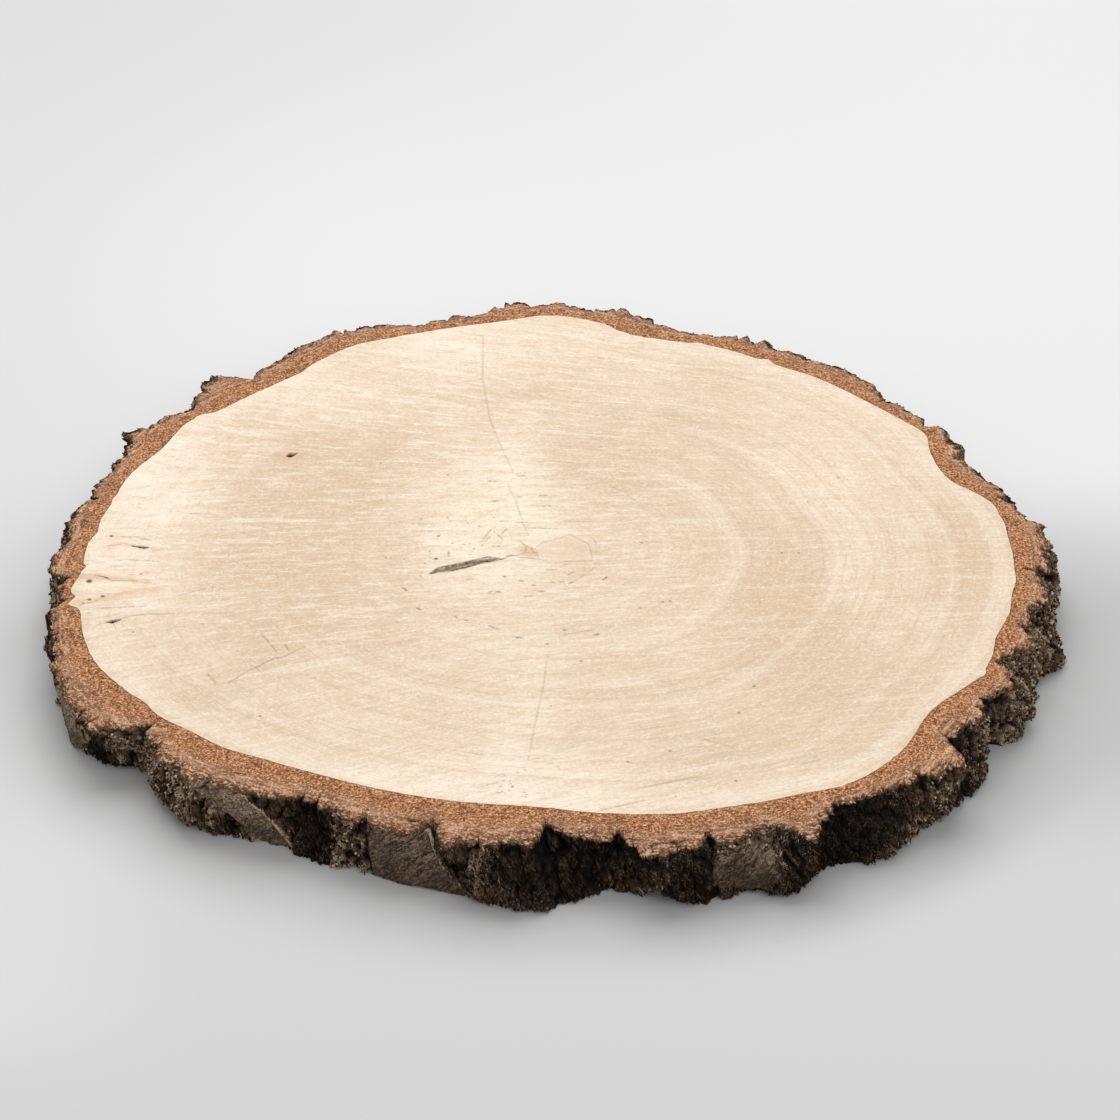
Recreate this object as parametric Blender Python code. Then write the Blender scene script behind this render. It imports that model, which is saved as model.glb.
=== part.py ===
"""A slice sawn across a birch trunk, with the bark still on it.

Wood and bark grew as one piece, so the slice is one solid. It starts as a plain drum whose
caps are inset for the cut faces, and each point of the drum is then moved to where the
real outline, the bark and its fissures have it. Bearings are in degrees, counted from +X
towards +Y, round the growth centre of the trunk.
"""
import math

import bmesh
import bpy
from mathutils import Matrix, Vector, noise

OBJECT_NAME = "birch_wood_slice"
SLICE_NAME = "wood_slice"
MM = 0.001

# Driving dimensions
THICKNESS = 28.0 * MM
COLUMNS = 340
SIDE_ROWS = 9
FACE_RINGS = 2
UNDERSIDE_RINGS = 1
RING_STEP = 0.1
GIRTH_RADIUS = 205.0 * MM

# The edge of the pale wood on the upper face: bearing, radius in mm
WOOD_EDGE = (
    (0, 195), (8, 195), (13, 194), (18, 186), (24, 188), (32, 191), (42, 190), (50, 190),
    (58, 188), (66, 190), (74, 188), (80, 192), (86, 201), (91, 204), (97, 200), (105, 198),
    (112, 198), (118, 200), (124, 196), (130, 190), (138, 190), (147, 196), (154, 193),
    (162, 196), (170, 196), (178, 199), (184, 200), (188, 202), (193, 202), (198, 204),
    (204, 205), (210, 203), (216, 201), (222, 196), (230, 191), (240, 186), (250, 184),
    (260, 183), (268, 183), (276, 188), (284, 193), (292, 196), (300, 202), (306, 204),
    (313, 201), (319, 196), (325, 194), (332, 196), (340, 194), (348, 195),
)

# The outer edge of the cut bark on the upper face: bearing, radius in mm
BARK_RIM = (
    (0, 210), (4, 212), (7, 210), (10, 202), (13, 201), (18, 197), (22, 195), (26, 199),
    (31, 199), (36, 197), (42, 199), (48, 200), (52, 202), (56, 201), (60, 204), (64, 205),
    (68, 199), (72, 196), (76, 203), (80, 208), (84, 208), (87, 213), (91, 215), (94, 211),
    (97, 216), (100, 208), (105, 205), (109, 203), (113, 210), (118, 211), (124, 210),
    (129, 207), (134, 201), (136, 211), (140, 209), (144, 204), (148, 203), (151, 210),
    (155, 211), (158, 206), (163, 206), (168, 207), (174, 209), (181, 210), (187, 212),
    (193, 215), (199, 219), (204, 221), (207, 219), (211, 220), (215, 221), (218, 208),
    (223, 212), (228, 216), (233, 210), (238, 206), (241, 200), (244, 202), (249, 205),
    (254, 203), (256, 200), (258, 207), (261, 210), (265, 207), (268, 203), (270, 195),
    (272, 202), (277, 203), (278, 202), (280, 215), (284, 215), (287, 210), (290, 216),
    (293, 213), (296, 224), (299, 216), (302, 213), (307, 214), (312, 217), (317, 221),
    (319, 209), (324, 210), (328, 205), (333, 209), (339, 207), (345, 205), (348, 205),
    (351, 211), (355, 207),
)

# The edge of the bark at the underside, in the same way
BARK_FOOT = (
    (1, 214), (10, 208), (20, 201), (30, 203), (40, 201), (50, 205), (60, 206), (70, 201),
    (80, 208), (90, 214), (98, 213), (106, 206), (114, 209), (122, 209), (130, 205),
    (138, 206), (146, 205), (154, 209), (162, 207), (172, 208), (182, 211), (190, 214),
    (197, 216), (203, 218), (208, 220), (212, 215), (215, 211), (217, 205), (220, 209),
    (224, 212), (229, 211), (233, 205), (237, 201), (241, 202), (246, 200), (249, 197),
    (252, 202), (257, 203), (262, 205), (266, 208), (270, 209), (272, 206), (275, 200),
    (279, 203), (283, 209), (286, 214), (290, 211), (293, 219), (297, 218), (300, 212),
    (304, 216), (309, 218), (316, 217), (321, 214), (325, 212), (328, 208), (333, 212),
    (339, 213), (345, 215), (350, 218), (355, 213),
)

# Lumps and hollows on the bark's side: bearing, share of the height from the underside,
# half width in degrees, half height as a share, and how far it stands out in mm
BARK_FORMS = (
    (2, 0.45, 3.0, 0.30, 3.5), (9, 0.30, 3.0, 0.50, -3.0), (16, 0.55, 4.0, 0.35, 2.5),
    (23, 0.40, 2.0, 0.60, -3.0), (29, 0.60, 4.0, 0.30, 3.0), (37, 0.35, 2.0, 0.50, -2.5),
    (45, 0.50, 5.0, 0.40, 3.0), (53, 0.55, 1.6, 0.60, -3.5), (60, 0.45, 4.0, 0.35, 3.0),
    (68, 0.50, 2.0, 0.60, -3.0), (77, 0.40, 4.5, 0.40, 3.5), (85, 0.60, 2.0, 0.40, -3.0),
    (91, 0.50, 3.5, 0.40, 2.5), (101, 0.45, 2.0, 0.60, -3.5), (110, 0.50, 5.0, 0.35, 3.0),
    (119, 0.35, 2.0, 0.50, -3.0), (126, 0.55, 4.0, 0.35, 3.0), (134, 0.50, 2.2, 0.60, -4.0),
    (142, 0.40, 4.0, 0.35, 3.0), (149, 0.60, 1.8, 0.50, -3.0), (157, 0.50, 4.0, 0.40, 2.5),
    (166, 0.35, 2.0, 0.50, -3.0), (175, 0.55, 5.0, 0.35, 2.5), (184, 0.40, 2.0, 0.50, -3.0),
    (193, 0.50, 4.0, 0.40, 2.0), (201, 0.70, 2.0, 0.40, -2.5), (209, 0.50, 3.0, 0.40, 4.0),
    (217, 0.60, 1.4, 0.60, -4.0), (226, 0.35, 4.5, 0.30, 6.0), (235, 0.75, 3.5, 0.30, 3.0),
    (239, 0.25, 3.0, 0.30, -1.5), (243.5, 0.45, 2.4, 0.50, -4.5), (249, 0.55, 2.0, 0.35, 3.0),
    (251.5, 0.40, 0.9, 0.60, -3.0), (256, 0.50, 2.6, 0.50, 3.5), (259, 0.35, 1.2, 0.50, -2.5),
    (265, 0.45, 4.0, 0.40, 5.0), (271.5, 0.55, 1.6, 0.60, -7.0), (275, 0.50, 2.2, 0.60, -4.0),
    (278, 0.75, 0.9, 0.30, -4.0), (282, 0.40, 3.2, 0.40, 5.0), (287.5, 0.60, 0.8, 0.50, -3.5),
    (293.5, 0.50, 3.2, 0.40, 4.5), (300.5, 0.55, 2.2, 0.70, -6.0), (307, 0.45, 3.4, 0.40, 3.5),
    (314, 0.40, 3.0, 0.40, 2.5), (319.5, 0.70, 1.4, 0.50, -5.0), (324, 0.40, 2.4, 0.40, 2.5),
    (328, 0.45, 1.2, 0.60, -3.5), (335, 0.45, 3.2, 0.40, 4.0), (342, 0.60, 1.5, 0.50, -3.0),
    (347, 0.35, 2.4, 0.35, 5.0), (350.5, 0.75, 1.4, 0.25, -4.0), (356.5, 0.60, 2.4, 0.35, 7.0),
)

# How far the cut bark drops below the wood, at the deepest bearing, halfway out and at the rim
HALFWAY_DIP = 0.7 * MM
RIM_DIP = 2.2 * MM
DEEPEST_DIP_BEARING = 270.0
LEAST_DIP_SHARE = 0.3
FACE_RIPPLE = 0.7 * MM
RIPPLES_ROUND = 18.0

# The rough crust: spacing of the ridges round and up the trunk, and their height
CRUST_ACROSS = 11.0 * MM
CRUST_ALONG = 26.0 * MM
CRUST_TWIST = 0.5
CRUST_HEIGHT = 3.2 * MM
FOOT_LIFT = 1.6 * MM
FOOT_NOISE_LEVEL = 4.0

# On the underside the wood reaches almost as far as on the upper face
UNDERSIDE_WOOD_SHARE = 0.99

# The drying crack beside the growth centre
CRACK_START = Vector((-59.0, -20.5)) * MM
CRACK_END = Vector((-17.0, -5.5)) * MM
CRACK_WIDTH = 3.6 * MM
CRACK_DEPTH = 5.0 * MM
CRACK_BOW = 1.6 * MM
CRACK_SIDES = 20

WOOD_COLOR = (0.80, 0.66, 0.48, 1.0)
WOOD_ROUGHNESS = 0.75
BARK_COLOR = (0.060, 0.042, 0.030, 1.0)
BARK_ROUGHNESS = 0.95
WOOD_SLOT = 0
BARK_SLOT = 1


def clear_scene():
    """Remove whatever the scene holds."""
    for item in list(bpy.data.objects):
        bpy.data.objects.remove(item, do_unlink=True)


def make_collection(name):
    """Add a collection to the scene."""
    collection = bpy.data.collections.new(name)
    bpy.context.scene.collection.children.link(collection)
    return collection


def make_material(name, color, roughness):
    """Make a plain non-metal material."""
    material = bpy.data.materials.new(name)
    material.use_nodes = True
    shader = material.node_tree.nodes["Principled BSDF"]
    shader.inputs["Base Color"].default_value = color
    shader.inputs["Roughness"].default_value = roughness
    shader.inputs["Metallic"].default_value = 0.0
    return material


def smooth_step(share):
    """Ease from 0 to 1."""
    share = min(max(share, 0.0), 1.0)
    return share * share * (3.0 - 2.0 * share)


def radius_on(outline, bearing):
    """Read an outline at a bearing, smoothly through its points, in metres."""
    count = len(outline)
    bearing %= 360.0
    after = next((k for k, point in enumerate(outline) if point[0] > bearing), count)
    points = []
    for step in (-2, -1, 0, 1):
        turns, place = divmod(after + step, count)
        points.append((outline[place][0] + 360.0 * turns, outline[place][1]))
    (b0, r0), (b1, r1), (b2, r2), (b3, r3) = points
    share = (bearing - b1) / (b2 - b1)
    slope_in = (r2 - r0) / (b2 - b0) * (b2 - b1)
    slope_out = (r3 - r1) / (b3 - b1) * (b2 - b1)
    square = share * share
    cube = square * share
    radius = (
        (2.0 * cube - 3.0 * square + 1.0) * r1
        + (cube - 2.0 * square + share) * slope_in
        + (3.0 * square - 2.0 * cube) * r2
        + (cube - square) * slope_out
    )
    return radius * MM


def bark_form(bearing, height_share):
    """Sum the lumps and hollows of the bark's side at one place, in metres."""
    reach = 0.0
    for at, level, half_width, half_height, height in BARK_FORMS:
        turn = (bearing - at + 180.0) % 360.0 - 180.0
        across = turn / half_width
        up = (height_share - level) / half_height
        reach += height * math.exp(-(across * across + up * up))
    return reach * MM


def crust(bearing, height):
    """Ridged relief of the outer crust, running up the trunk with a slight twist."""
    angle = math.radians(bearing)
    ridges_round = GIRTH_RADIUS / CRUST_ACROSS
    twist = angle + CRUST_TWIST * height / GIRTH_RADIUS
    place = Vector(
        (ridges_round * math.cos(twist), ridges_round * math.sin(twist), height / CRUST_ALONG)
    )
    ridge = 1.0 - 2.0 * abs(noise.noise(place))
    fine = noise.noise(place * 2.3 + Vector((7.0, 3.0, 1.0)))
    return CRUST_HEIGHT * (0.6 * (ridge - 0.6) + 0.4 * fine)


def face_height(bearing, share):
    """Height of the cut bark: share 0 at the wood and 1 at the rim."""
    if share < 0.5:
        dip = HALFWAY_DIP * share * 2.0
    else:
        dip = HALFWAY_DIP + (RIM_DIP - HALFWAY_DIP) * (share * 2.0 - 1.0)
    facing = 0.5 + 0.5 * math.cos(math.radians(bearing - DEEPEST_DIP_BEARING))
    dip *= LEAST_DIP_SHARE + (1.0 - LEAST_DIP_SHARE) * facing
    angle = math.radians(bearing)
    place = Vector(
        (RIPPLES_ROUND * math.cos(angle), RIPPLES_ROUND * math.sin(angle), share * 2.0)
    )
    ripple = FACE_RIPPLE * noise.noise(place) * smooth_step(share * 2.0)
    return THICKNESS - max(dip - ripple, 0.0)


def foot_height(bearing):
    """Height of the bark's lower edge, chipped a little above the resting face."""
    angle = math.radians(bearing)
    place = Vector(
        (RIPPLES_ROUND * math.cos(angle), RIPPLES_ROUND * math.sin(angle), FOOT_NOISE_LEVEL)
    )
    return FOOT_LIFT * max(noise.noise(place), 0.0) * 2.0


def side_point(bearing, share):
    """Place a point of the bark's side: share 0 at the upper rim and 1 at the underside."""
    rim = radius_on(BARK_RIM, bearing)
    foot = radius_on(BARK_FOOT, bearing)
    top = face_height(bearing, 1.0)
    height = top + (foot_height(bearing) - top) * share
    height_share = height / THICKNESS
    ends = smooth_step(min(share, 1.0 - share) * 5.0 + 0.15)
    radius = rim + (foot - rim) * smooth_step(share)
    radius += bark_form(bearing, height_share) * ends
    radius += crust(bearing, height) * (0.35 + 0.65 * ends)
    return radius, height


def face_point(bearing, share):
    """Place a point of the cut bark on the upper face."""
    wood = radius_on(WOOD_EDGE, bearing)
    rim = side_point(bearing, 0.0)[0]
    return wood + (rim - wood) * share, face_height(bearing, share)


def underside_point(bearing, share):
    """Place a point of the underside: share 0 at the wood and 1 at the bark's foot."""
    wood = radius_on(WOOD_EDGE, bearing) * UNDERSIDE_WOOD_SHARE
    foot, low = side_point(bearing, 1.0)
    return wood + (foot - wood) * share, low * share


def make_drum():
    """Start from a drum of radius 1 and height 1, cut into the rows and rings that are moved."""
    drum = bmesh.new()
    bmesh.ops.create_cone(
        drum, cap_ends=True, segments=COLUMNS, radius1=1.0, radius2=1.0, depth=1.0
    )
    bmesh.ops.translate(drum, verts=drum.verts, vec=(0.0, 0.0, 0.5))
    uprights = [edge for edge in drum.edges if abs(edge.verts[0].co.z - edge.verts[1].co.z) > 0.5]
    bmesh.ops.subdivide_edges(drum, edges=uprights, cuts=SIDE_ROWS - 1, use_grid_fill=True)
    for level, rings in ((1.0, FACE_RINGS), (0.0, UNDERSIDE_RINGS)):
        for _ in range(rings):
            cap = max(
                (face for face in drum.faces if all(abs(v.co.z - level) < 1e-5 for v in face.verts)),
                key=lambda face: len(face.verts),
            )
            bmesh.ops.inset_region(drum, faces=[cap], thickness=RING_STEP, use_even_offset=True)
    return drum


def sculpt(drum):
    """Move each point of the drum to its place on the slice."""
    for vertex in drum.verts:
        x, y, z = vertex.co
        bearing = math.degrees(math.atan2(y, x))
        reach = math.hypot(x, y)
        if z > 1.0 - 1e-4 and reach < 1.0 - 0.5 * RING_STEP:
            share = 1.0 - (1.0 - reach) / (RING_STEP * FACE_RINGS)
            radius, height = face_point(bearing, max(share, 0.0))
        elif z < 1e-4 and reach < 1.0 - 0.5 * RING_STEP:
            share = 1.0 - (1.0 - reach) / (RING_STEP * UNDERSIDE_RINGS)
            radius, height = underside_point(bearing, max(share, 0.0))
        else:
            radius, height = side_point(bearing, 1.0 - z)
        angle = math.radians(bearing)
        vertex.co = Vector((radius * math.cos(angle), radius * math.sin(angle), height))


def paint(drum):
    """Give the two wood faces the wood's material and all else the bark's."""
    for face in drum.faces:
        face.material_index = WOOD_SLOT if len(face.verts) > 4 else BARK_SLOT
        face.smooth = False


def make_crack(collection):
    """Make the wedge that is cut out of the wood beside the growth centre."""
    wedge = bmesh.new()
    bmesh.ops.create_cone(
        wedge, cap_ends=True, segments=CRACK_SIDES, radius1=0.35, radius2=1.0,
        depth=2.0 * CRACK_DEPTH,
    )
    run = CRACK_END - CRACK_START
    middle = (CRACK_START + CRACK_END) / 2.0
    along = run.normalized()
    side = Vector((-along.y, along.x))
    for vertex in wedge.verts:
        x, y, z = vertex.co
        width = 0.5 * CRACK_WIDTH * (1.0 - 0.45 * x)
        place = middle + along * (x * run.length / 2.0)
        place += side * (y * width + CRACK_BOW * (x * x - 0.5))
        vertex.co = Vector((place.x, place.y, THICKNESS + z))
    mesh = bpy.data.meshes.new("crack_cutter")
    wedge.to_mesh(mesh)
    wedge.free()
    cutter = bpy.data.objects.new("crack_cutter", mesh)
    cutter.hide_render = True
    cutter.display_type = 'WIRE'
    collection.objects.link(cutter)
    return cutter


def make_slice(collection, cutters):
    """Build the slice, with its resting face at height 0 and its box centred on the origin."""
    drum = make_drum()
    sculpt(drum)
    paint(drum)
    xs = [vertex.co.x for vertex in drum.verts]
    ys = [vertex.co.y for vertex in drum.verts]
    shift = Vector((-(min(xs) + max(xs)) / 2.0, -(min(ys) + max(ys)) / 2.0, 0.0))
    mesh = bpy.data.meshes.new(SLICE_NAME)
    drum.to_mesh(mesh)
    drum.free()
    mesh.materials.append(make_material("birch_wood", WOOD_COLOR, WOOD_ROUGHNESS))
    mesh.materials.append(make_material("birch_bark", BARK_COLOR, BARK_ROUGHNESS))
    mesh.transform(Matrix.Translation(shift))
    piece = bpy.data.objects.new(SLICE_NAME, mesh)
    collection.objects.link(piece)
    cutter = make_crack(cutters)
    cutter.data.transform(Matrix.Translation(shift))
    cut = piece.modifiers.new("crack", 'BOOLEAN')
    cut.operation = 'DIFFERENCE'
    cut.object = cutter
    return piece


def main():
    """Build the whole object."""
    clear_scene()
    make_slice(make_collection(OBJECT_NAME), make_collection("cutters"))


main()
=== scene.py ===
import math

import bpy
import numpy as np
from mathutils import Matrix, Vector
from mathutils.bvhtree import BVHTree
from mathutils.geometry import delaunay_2d_cdt


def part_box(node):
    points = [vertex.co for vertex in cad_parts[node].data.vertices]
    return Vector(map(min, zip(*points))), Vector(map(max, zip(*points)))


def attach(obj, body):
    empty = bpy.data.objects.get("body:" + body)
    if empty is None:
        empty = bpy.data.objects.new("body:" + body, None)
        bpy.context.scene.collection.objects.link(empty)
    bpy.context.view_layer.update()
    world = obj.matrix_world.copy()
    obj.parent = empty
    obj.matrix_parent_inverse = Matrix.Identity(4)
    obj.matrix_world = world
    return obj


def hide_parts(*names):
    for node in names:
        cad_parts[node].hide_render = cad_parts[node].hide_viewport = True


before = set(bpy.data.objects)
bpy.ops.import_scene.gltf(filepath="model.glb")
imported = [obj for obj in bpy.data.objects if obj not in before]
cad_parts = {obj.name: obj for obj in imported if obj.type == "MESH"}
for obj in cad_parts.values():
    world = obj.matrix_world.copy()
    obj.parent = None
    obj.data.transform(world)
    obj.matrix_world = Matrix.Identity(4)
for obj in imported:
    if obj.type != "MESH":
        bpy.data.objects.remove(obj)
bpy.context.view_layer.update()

# A birch slice: a flat disc of wood in a ring of rough bark. All sizes below are in mm.
MM = 0.001
BODY = "root"
SLICE = "wood_slice"
SEED = 20

# The point of the upper face that the camera looks at. Marks on the wood are placed from it.
VIEW_POINT = np.array((0.97, -9.6))
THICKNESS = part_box(SLICE)[1][2] / MM
HALF_THICKNESS = THICKNESS / 2.0

# Camera
ELEVATION = math.radians(33.0)
CAMERA_DISTANCE = 1600.0
VIEW_WIDTH = 475.9
SENSOR = 36.0
CLIP_END = 50.0

# Mesh density of the bark
COLUMNS = 2200
FACE_ROWS = 26
SIDE_ROWS = 40
UNDERSIDE_ROWS = 8
SECTION_RAYS = 121
GIRTH_RADIUS = 210.0
COLUMN_STEP = 2.0 * math.pi * GIRTH_RADIUS / COLUMNS
DEGREE = math.radians(1.0) * GIRTH_RADIUS
FACET_BLUR = 2.2

# The joint between wood and bark
JOINT_GAP = 0.05
JOINT_WOBBLE = 0.3

# Bends of the joint: bearing, half width in degrees, and how far out
JOINT_BENDS = (
    (12, 4, -2.5), (20, 3.5, -3), (25, 3, -1.6), (40, 7, -1.2), (356, 4, 0.9), (336, 5, 1.3), (330, 3, 0.9),
    (320, 3, -2), (214, 3, -1), (192, 1.8, 3), (194.1, 0.5, 3), (192.5, 0.45, -1.8), (186.2, 0.5, -1.6),
    (338, 1.2, -0.8), (330.3, 0.5, 1.4), (4, 1.5, 1), (351, 1.5, 1), (344, 1.5, 0.9), (8, 1.4, 1.6),
    (147, 1, 0.8), (27, 2.2, 3.2), (77.4, 1.2, -9.5), (81.1, 0.8, -5), (122, 5, -1.8), (128.5, 1.5, -1),
    (144.5, 2.5, -2.4), (170.2, 1, -1.6), (178.2, 1.2, -1.8), (217, 1.5, -2), (230, 2.5, 1.7),
    (298.5, 2.5, -1.9),
)

# Where the bark bulges further than the solid: bearing, half width in degrees, mm at rim and foot
SWELLS = (
    (80, 92, 2.4, 2.4), (8, 6, 1.2, 1), (45, 5, 1.2, 1), (81, 5, 1.6, 1), (93, 4, 2.4, 1), (99, 4, -1.4, 0),
    (111, 7, 2.6, 1), (117.5, 5, 1.8, 1), (129, 5, -1.4, 0), (140, 5, 2.2, 1), (152, 5, 3.4, 1),
    (189, 4, 0.8, 0.4), (196, 9, -2.6, -2.4), (206, 4, -1.4, -1.2), (224, 6, -1, -2.8), (339, 6, -1.2, -2),
    (268, 48, 0.6, 2.4), (270, 4, 0, 0.6), (303, 6, 0, 2.4), (319, 4, 0, 1.5), (355, 9, -1.6, -1.8),
    (298, 4, 0, -1.5), (209, 3, 1.4, 1.2), (216, 3, 0, 1.4), (332, 3, 0, 1.5), (138, 3, 1.4, 0),
    (93.6, 2, 1.2, 0), (88, 3, -1, 0), (24, 3, 2, 0), (10, 2.5, 1.6, 0), (76.2, 2.5, 0.8, 0),
    (145.5, 3, -1.2, 0),
)

# Small lobes and dents of the rim alone: bearing, half width in degrees, how far out in mm
RIM_LOBES = (
    (0, 1.2, 3), (5, 1, -3), (13, 1.4, 2.5), (21, 1, -3), (25.5, 1.5, -2.5), (28, 1, 2.5), (30, 1, -3.5),
    (38.5, 1.5, -3.5), (45.5, 2, 1.5), (57.6, 1.5, -4), (61, 1, -4), (75, 1, -3), (77.6, 1.4, -2.8),
    (80.6, 1.6, 3.5), (91.5, 1.4, -3.5), (94.5, 1.6, 4), (96.1, 0.7, -3.5), (102.4, 1.2, 2.5),
    (108, 1, -2.5), (115.2, 2.6, -3), (118.2, 1.2, 3.2), (129.5, 1.5, -2), (136.6, 2.2, 4.5),
    (134.8, 0.9, -3.5), (138, 0.7, -5), (142.6, 1.8, -3.2), (148, 2.6, 2.2), (152, 0.5, -2),
    (154.3, 0.5, 2.5), (155.9, 0.8, -3.5), (158.6, 1.5, -2.5), (160.8, 1.6, 2), (166, 2.4, 1.8),
    (174, 3, 2.6), (178.5, 1.6, -1.5), (184.4, 2.8, 4), (188, 1.2, -3), (192.6, 1.6, -2), (196, 3, 2.4),
    (205.4, 2.4, 3), (213.8, 4.6, 2.6), (218, 2, 4.4), (220.2, 0.8, -3), (223.6, 4.5, 2), (225.8, 1.4, 1.8),
    (228, 1, -2.5), (232.1, 0.5, -4), (234.4, 4, -2.8), (239.5, 1.6, -1), (246.8, 1.8, -2.5),
    (250, 1.7, -4.5), (257.6, 1.5, -6), (263.8, 4.2, -4.5), (271, 1.4, -1.5), (274.2, 1.2, -2),
    (279.2, 1.2, 2), (282.4, 2.6, -3), (293.2, 3.6, -5.5), (296.2, 1, 4), (299.6, 1, 3), (304, 4.5, -1.4),
    (316.2, 1.2, 4), (319.2, 1.4, 2), (327.5, 4, 1.6), (330.3, 1, 2.5), (334, 1, -4.5), (336.4, 1.2, -2.5),
    (339.2, 2, 5), (343.6, 1.2, 2), (347, 1.4, 3.5), (352.6, 1.4, 2.5), (354.5, 0.6, -4), (356.2, 1.8, 4.5),
    (357.1, 0.5, -3.5), (358.6, 1.4, 3),
)
LOBE_FLOOR = 0.25

# Noise on arrays of points

# Large odd numbers that turn a place into a fixed pseudo-random one
PLACE_FACTORS = (73856093, 19349663, 83492791)
SEED_FACTOR = 40503
MIXERS = ((15, 2246822519), (13, 3266489917))
LOW_32_BITS = 0xFFFFFFFF
FAR = 1e3


def lattice(place, seed):
    """A fixed pseudo-random number from 0 to 1 for each whole-number place."""
    x, y, z = (place * PLACE_FACTORS).T
    mixed = (x ^ y ^ z ^ (seed * SEED_FACTOR)) & LOW_32_BITS
    for shift, factor in MIXERS:
        mixed = ((mixed ^ (mixed >> shift)) * factor) & LOW_32_BITS
    return (mixed ^ (mixed >> 16)) / LOW_32_BITS


def value_noise(points, seed):
    """Smooth noise from -1 to 1 at each point."""
    cell = np.floor(points).astype(np.int64)
    part = points - cell
    share = part * part * part * (part * (part * 6.0 - 15.0) + 10.0)
    total = np.zeros(len(points))
    for corner in np.ndindex(2, 2, 2):
        step = np.array(corner[::-1])
        weight = np.prod(np.where(step == 1, share, 1.0 - share), axis=1)
        total += weight * lattice(cell + step, seed)
    return total * 2.0 - 1.0


def layered_noise(points, seed, octaves=3, gain=0.5):
    """Several octaves of smooth noise, from about -1 to 1."""
    total = np.zeros(len(points))
    size = 1.0
    whole = 0.0
    for octave in range(octaves):
        total += size * value_noise(points * 2.03 ** octave + 17.3 * octave, seed + octave)
        whole += size
        size *= gain
    return total / whole


def drift(points, size, *seeds):
    """Smooth noise of a size in mm, with one number for each seed."""
    return np.stack([layered_noise(points / size, SEED + seed) for seed in seeds], axis=1)


def cell_noise(points, seed):
    """Distance to the nearest and the next scattered centre, and the nearest one's number."""
    cell = np.floor(points).astype(np.int64)
    nearest = np.full(len(points), FAR)
    second = np.full(len(points), FAR)
    number = np.zeros(len(points))
    for step in np.ndindex(3, 3, 3):
        place = cell + np.array(step) - 1
        offset = np.stack([lattice(place, seed + k) for k in range(3)], axis=1)
        gap = np.linalg.norm(points - place - offset, axis=1)
        closer = gap < nearest
        second = np.where(closer, nearest, np.minimum(second, gap))
        number = np.where(closer, lattice(place, seed + 3), number)
        nearest = np.where(closer, gap, nearest)
    return nearest, second, number


def ease(low, high, values):
    """Rise smoothly from 0 at low to 1 at high."""
    share = np.clip((values - low) / (high - low), 0.0, 1.0)
    return share * share * (3.0 - 2.0 * share)


def flat_points(points):
    """Points of the plane, with a third coordinate for the noise."""
    return np.column_stack([points, np.zeros(len(points))])


def spot(away, half_width, edge=1.3):
    """1 close to a place and 0 away from it, with a soft edge."""
    return ease(half_width * edge, half_width * 0.4, away)


def near_box(points, form, reach):
    """Which points lie within reach of the box round a form."""
    low = np.min(form, axis=0) - reach
    high = np.max(form, axis=0) + reach
    return np.all((points > low) & (points < high), axis=1)


def from_line(points, line):
    """Distance from each point of the plane to a line of points, and how far along it, 0 to 1."""
    line = np.asarray(line, dtype=float)
    runs = np.diff(line, axis=0)
    lengths = np.hypot(*runs.T)
    before = np.concatenate([[0.0], np.cumsum(lengths)])
    best = np.full(len(points), FAR)
    along = np.zeros(len(points))
    for start, run, length, passed in zip(line[:-1], runs, lengths, before[:-1]):
        share = np.clip(((points - start) @ run) / length ** 2, 0.0, 1.0)
        gap = np.linalg.norm(points - start - share[:, None] * run, axis=1)
        along = np.where(gap < best, (passed + share * length) / before[-1], along)
        best = np.minimum(best, gap)
    return best, along


def inside_outline(points, outline):
    """Distance to a closed outline, positive inside it."""
    outline = np.asarray(outline, dtype=float)
    closed = np.concatenate([outline, outline[:1]])
    gap = from_line(points, closed)[0]
    odd = np.zeros(len(points), dtype=bool)
    for (ax, ay), (bx, by) in zip(closed[:-1], closed[1:]):
        crosses = (ay > points[:, 1]) != (by > points[:, 1])
        rise = by - ay if by != ay else 1e-9
        odd ^= crosses & (points[:, 0] < ax + (points[:, 1] - ay) * (bx - ax) / rise)
    return np.where(odd, gap, -gap)


# Reading the solid that the looks are built on

def solid_points():
    """The solid's corners in mm, and its faces."""
    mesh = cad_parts[SLICE].data
    points = np.zeros(len(mesh.vertices) * 3)
    mesh.vertices.foreach_get("co", points)
    faces = [tuple(face.vertices) for face in mesh.polygons]
    return points.reshape(-1, 3) / MM, faces


# The top's points further out than this belong to its outline, the rest to the crack
OUTLINE_FROM = 120.0
SOLID, SOLID_FACES = solid_points()
ON_TOP = SOLID[:, 2] > THICKNESS - 1e-3
TOP_EDGE = SOLID[ON_TOP & (np.hypot(SOLID[:, 0], SOLID[:, 1]) > OUTLINE_FROM)]
CENTRE = (TOP_EDGE.min(axis=0) + TOP_EDGE.max(axis=0))[:2] / 2.0
BEARINGS = np.linspace(0.0, 2.0 * math.pi, COLUMNS, endpoint=False)
DEGREES = np.degrees(BEARINGS)
OUTWARD = np.stack([np.cos(BEARINGS), np.sin(BEARINGS)], axis=1)


def blur_round(values, reach):
    """Blur rows of values along the bearing, which closes on itself. Reach is in columns."""
    wide = int(3 * reach) + 1
    steps = np.arange(-wide, wide + 1)
    weights = np.exp(-0.5 * (steps / reach) ** 2)
    weights /= weights.sum()
    return sum(w * np.roll(values, s, axis=0) for w, s in zip(weights, steps))


def turn_from(bearings, bearing):
    """The turn in degrees from one bearing to others, the short way round."""
    return (bearings - bearing + 180.0) % 360.0 - 180.0


def girth_gap(bearings, bearing):
    """The distance in mm along the girth between one bearing and others."""
    return np.abs(turn_from(bearings, bearing)) * DEGREE


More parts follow.
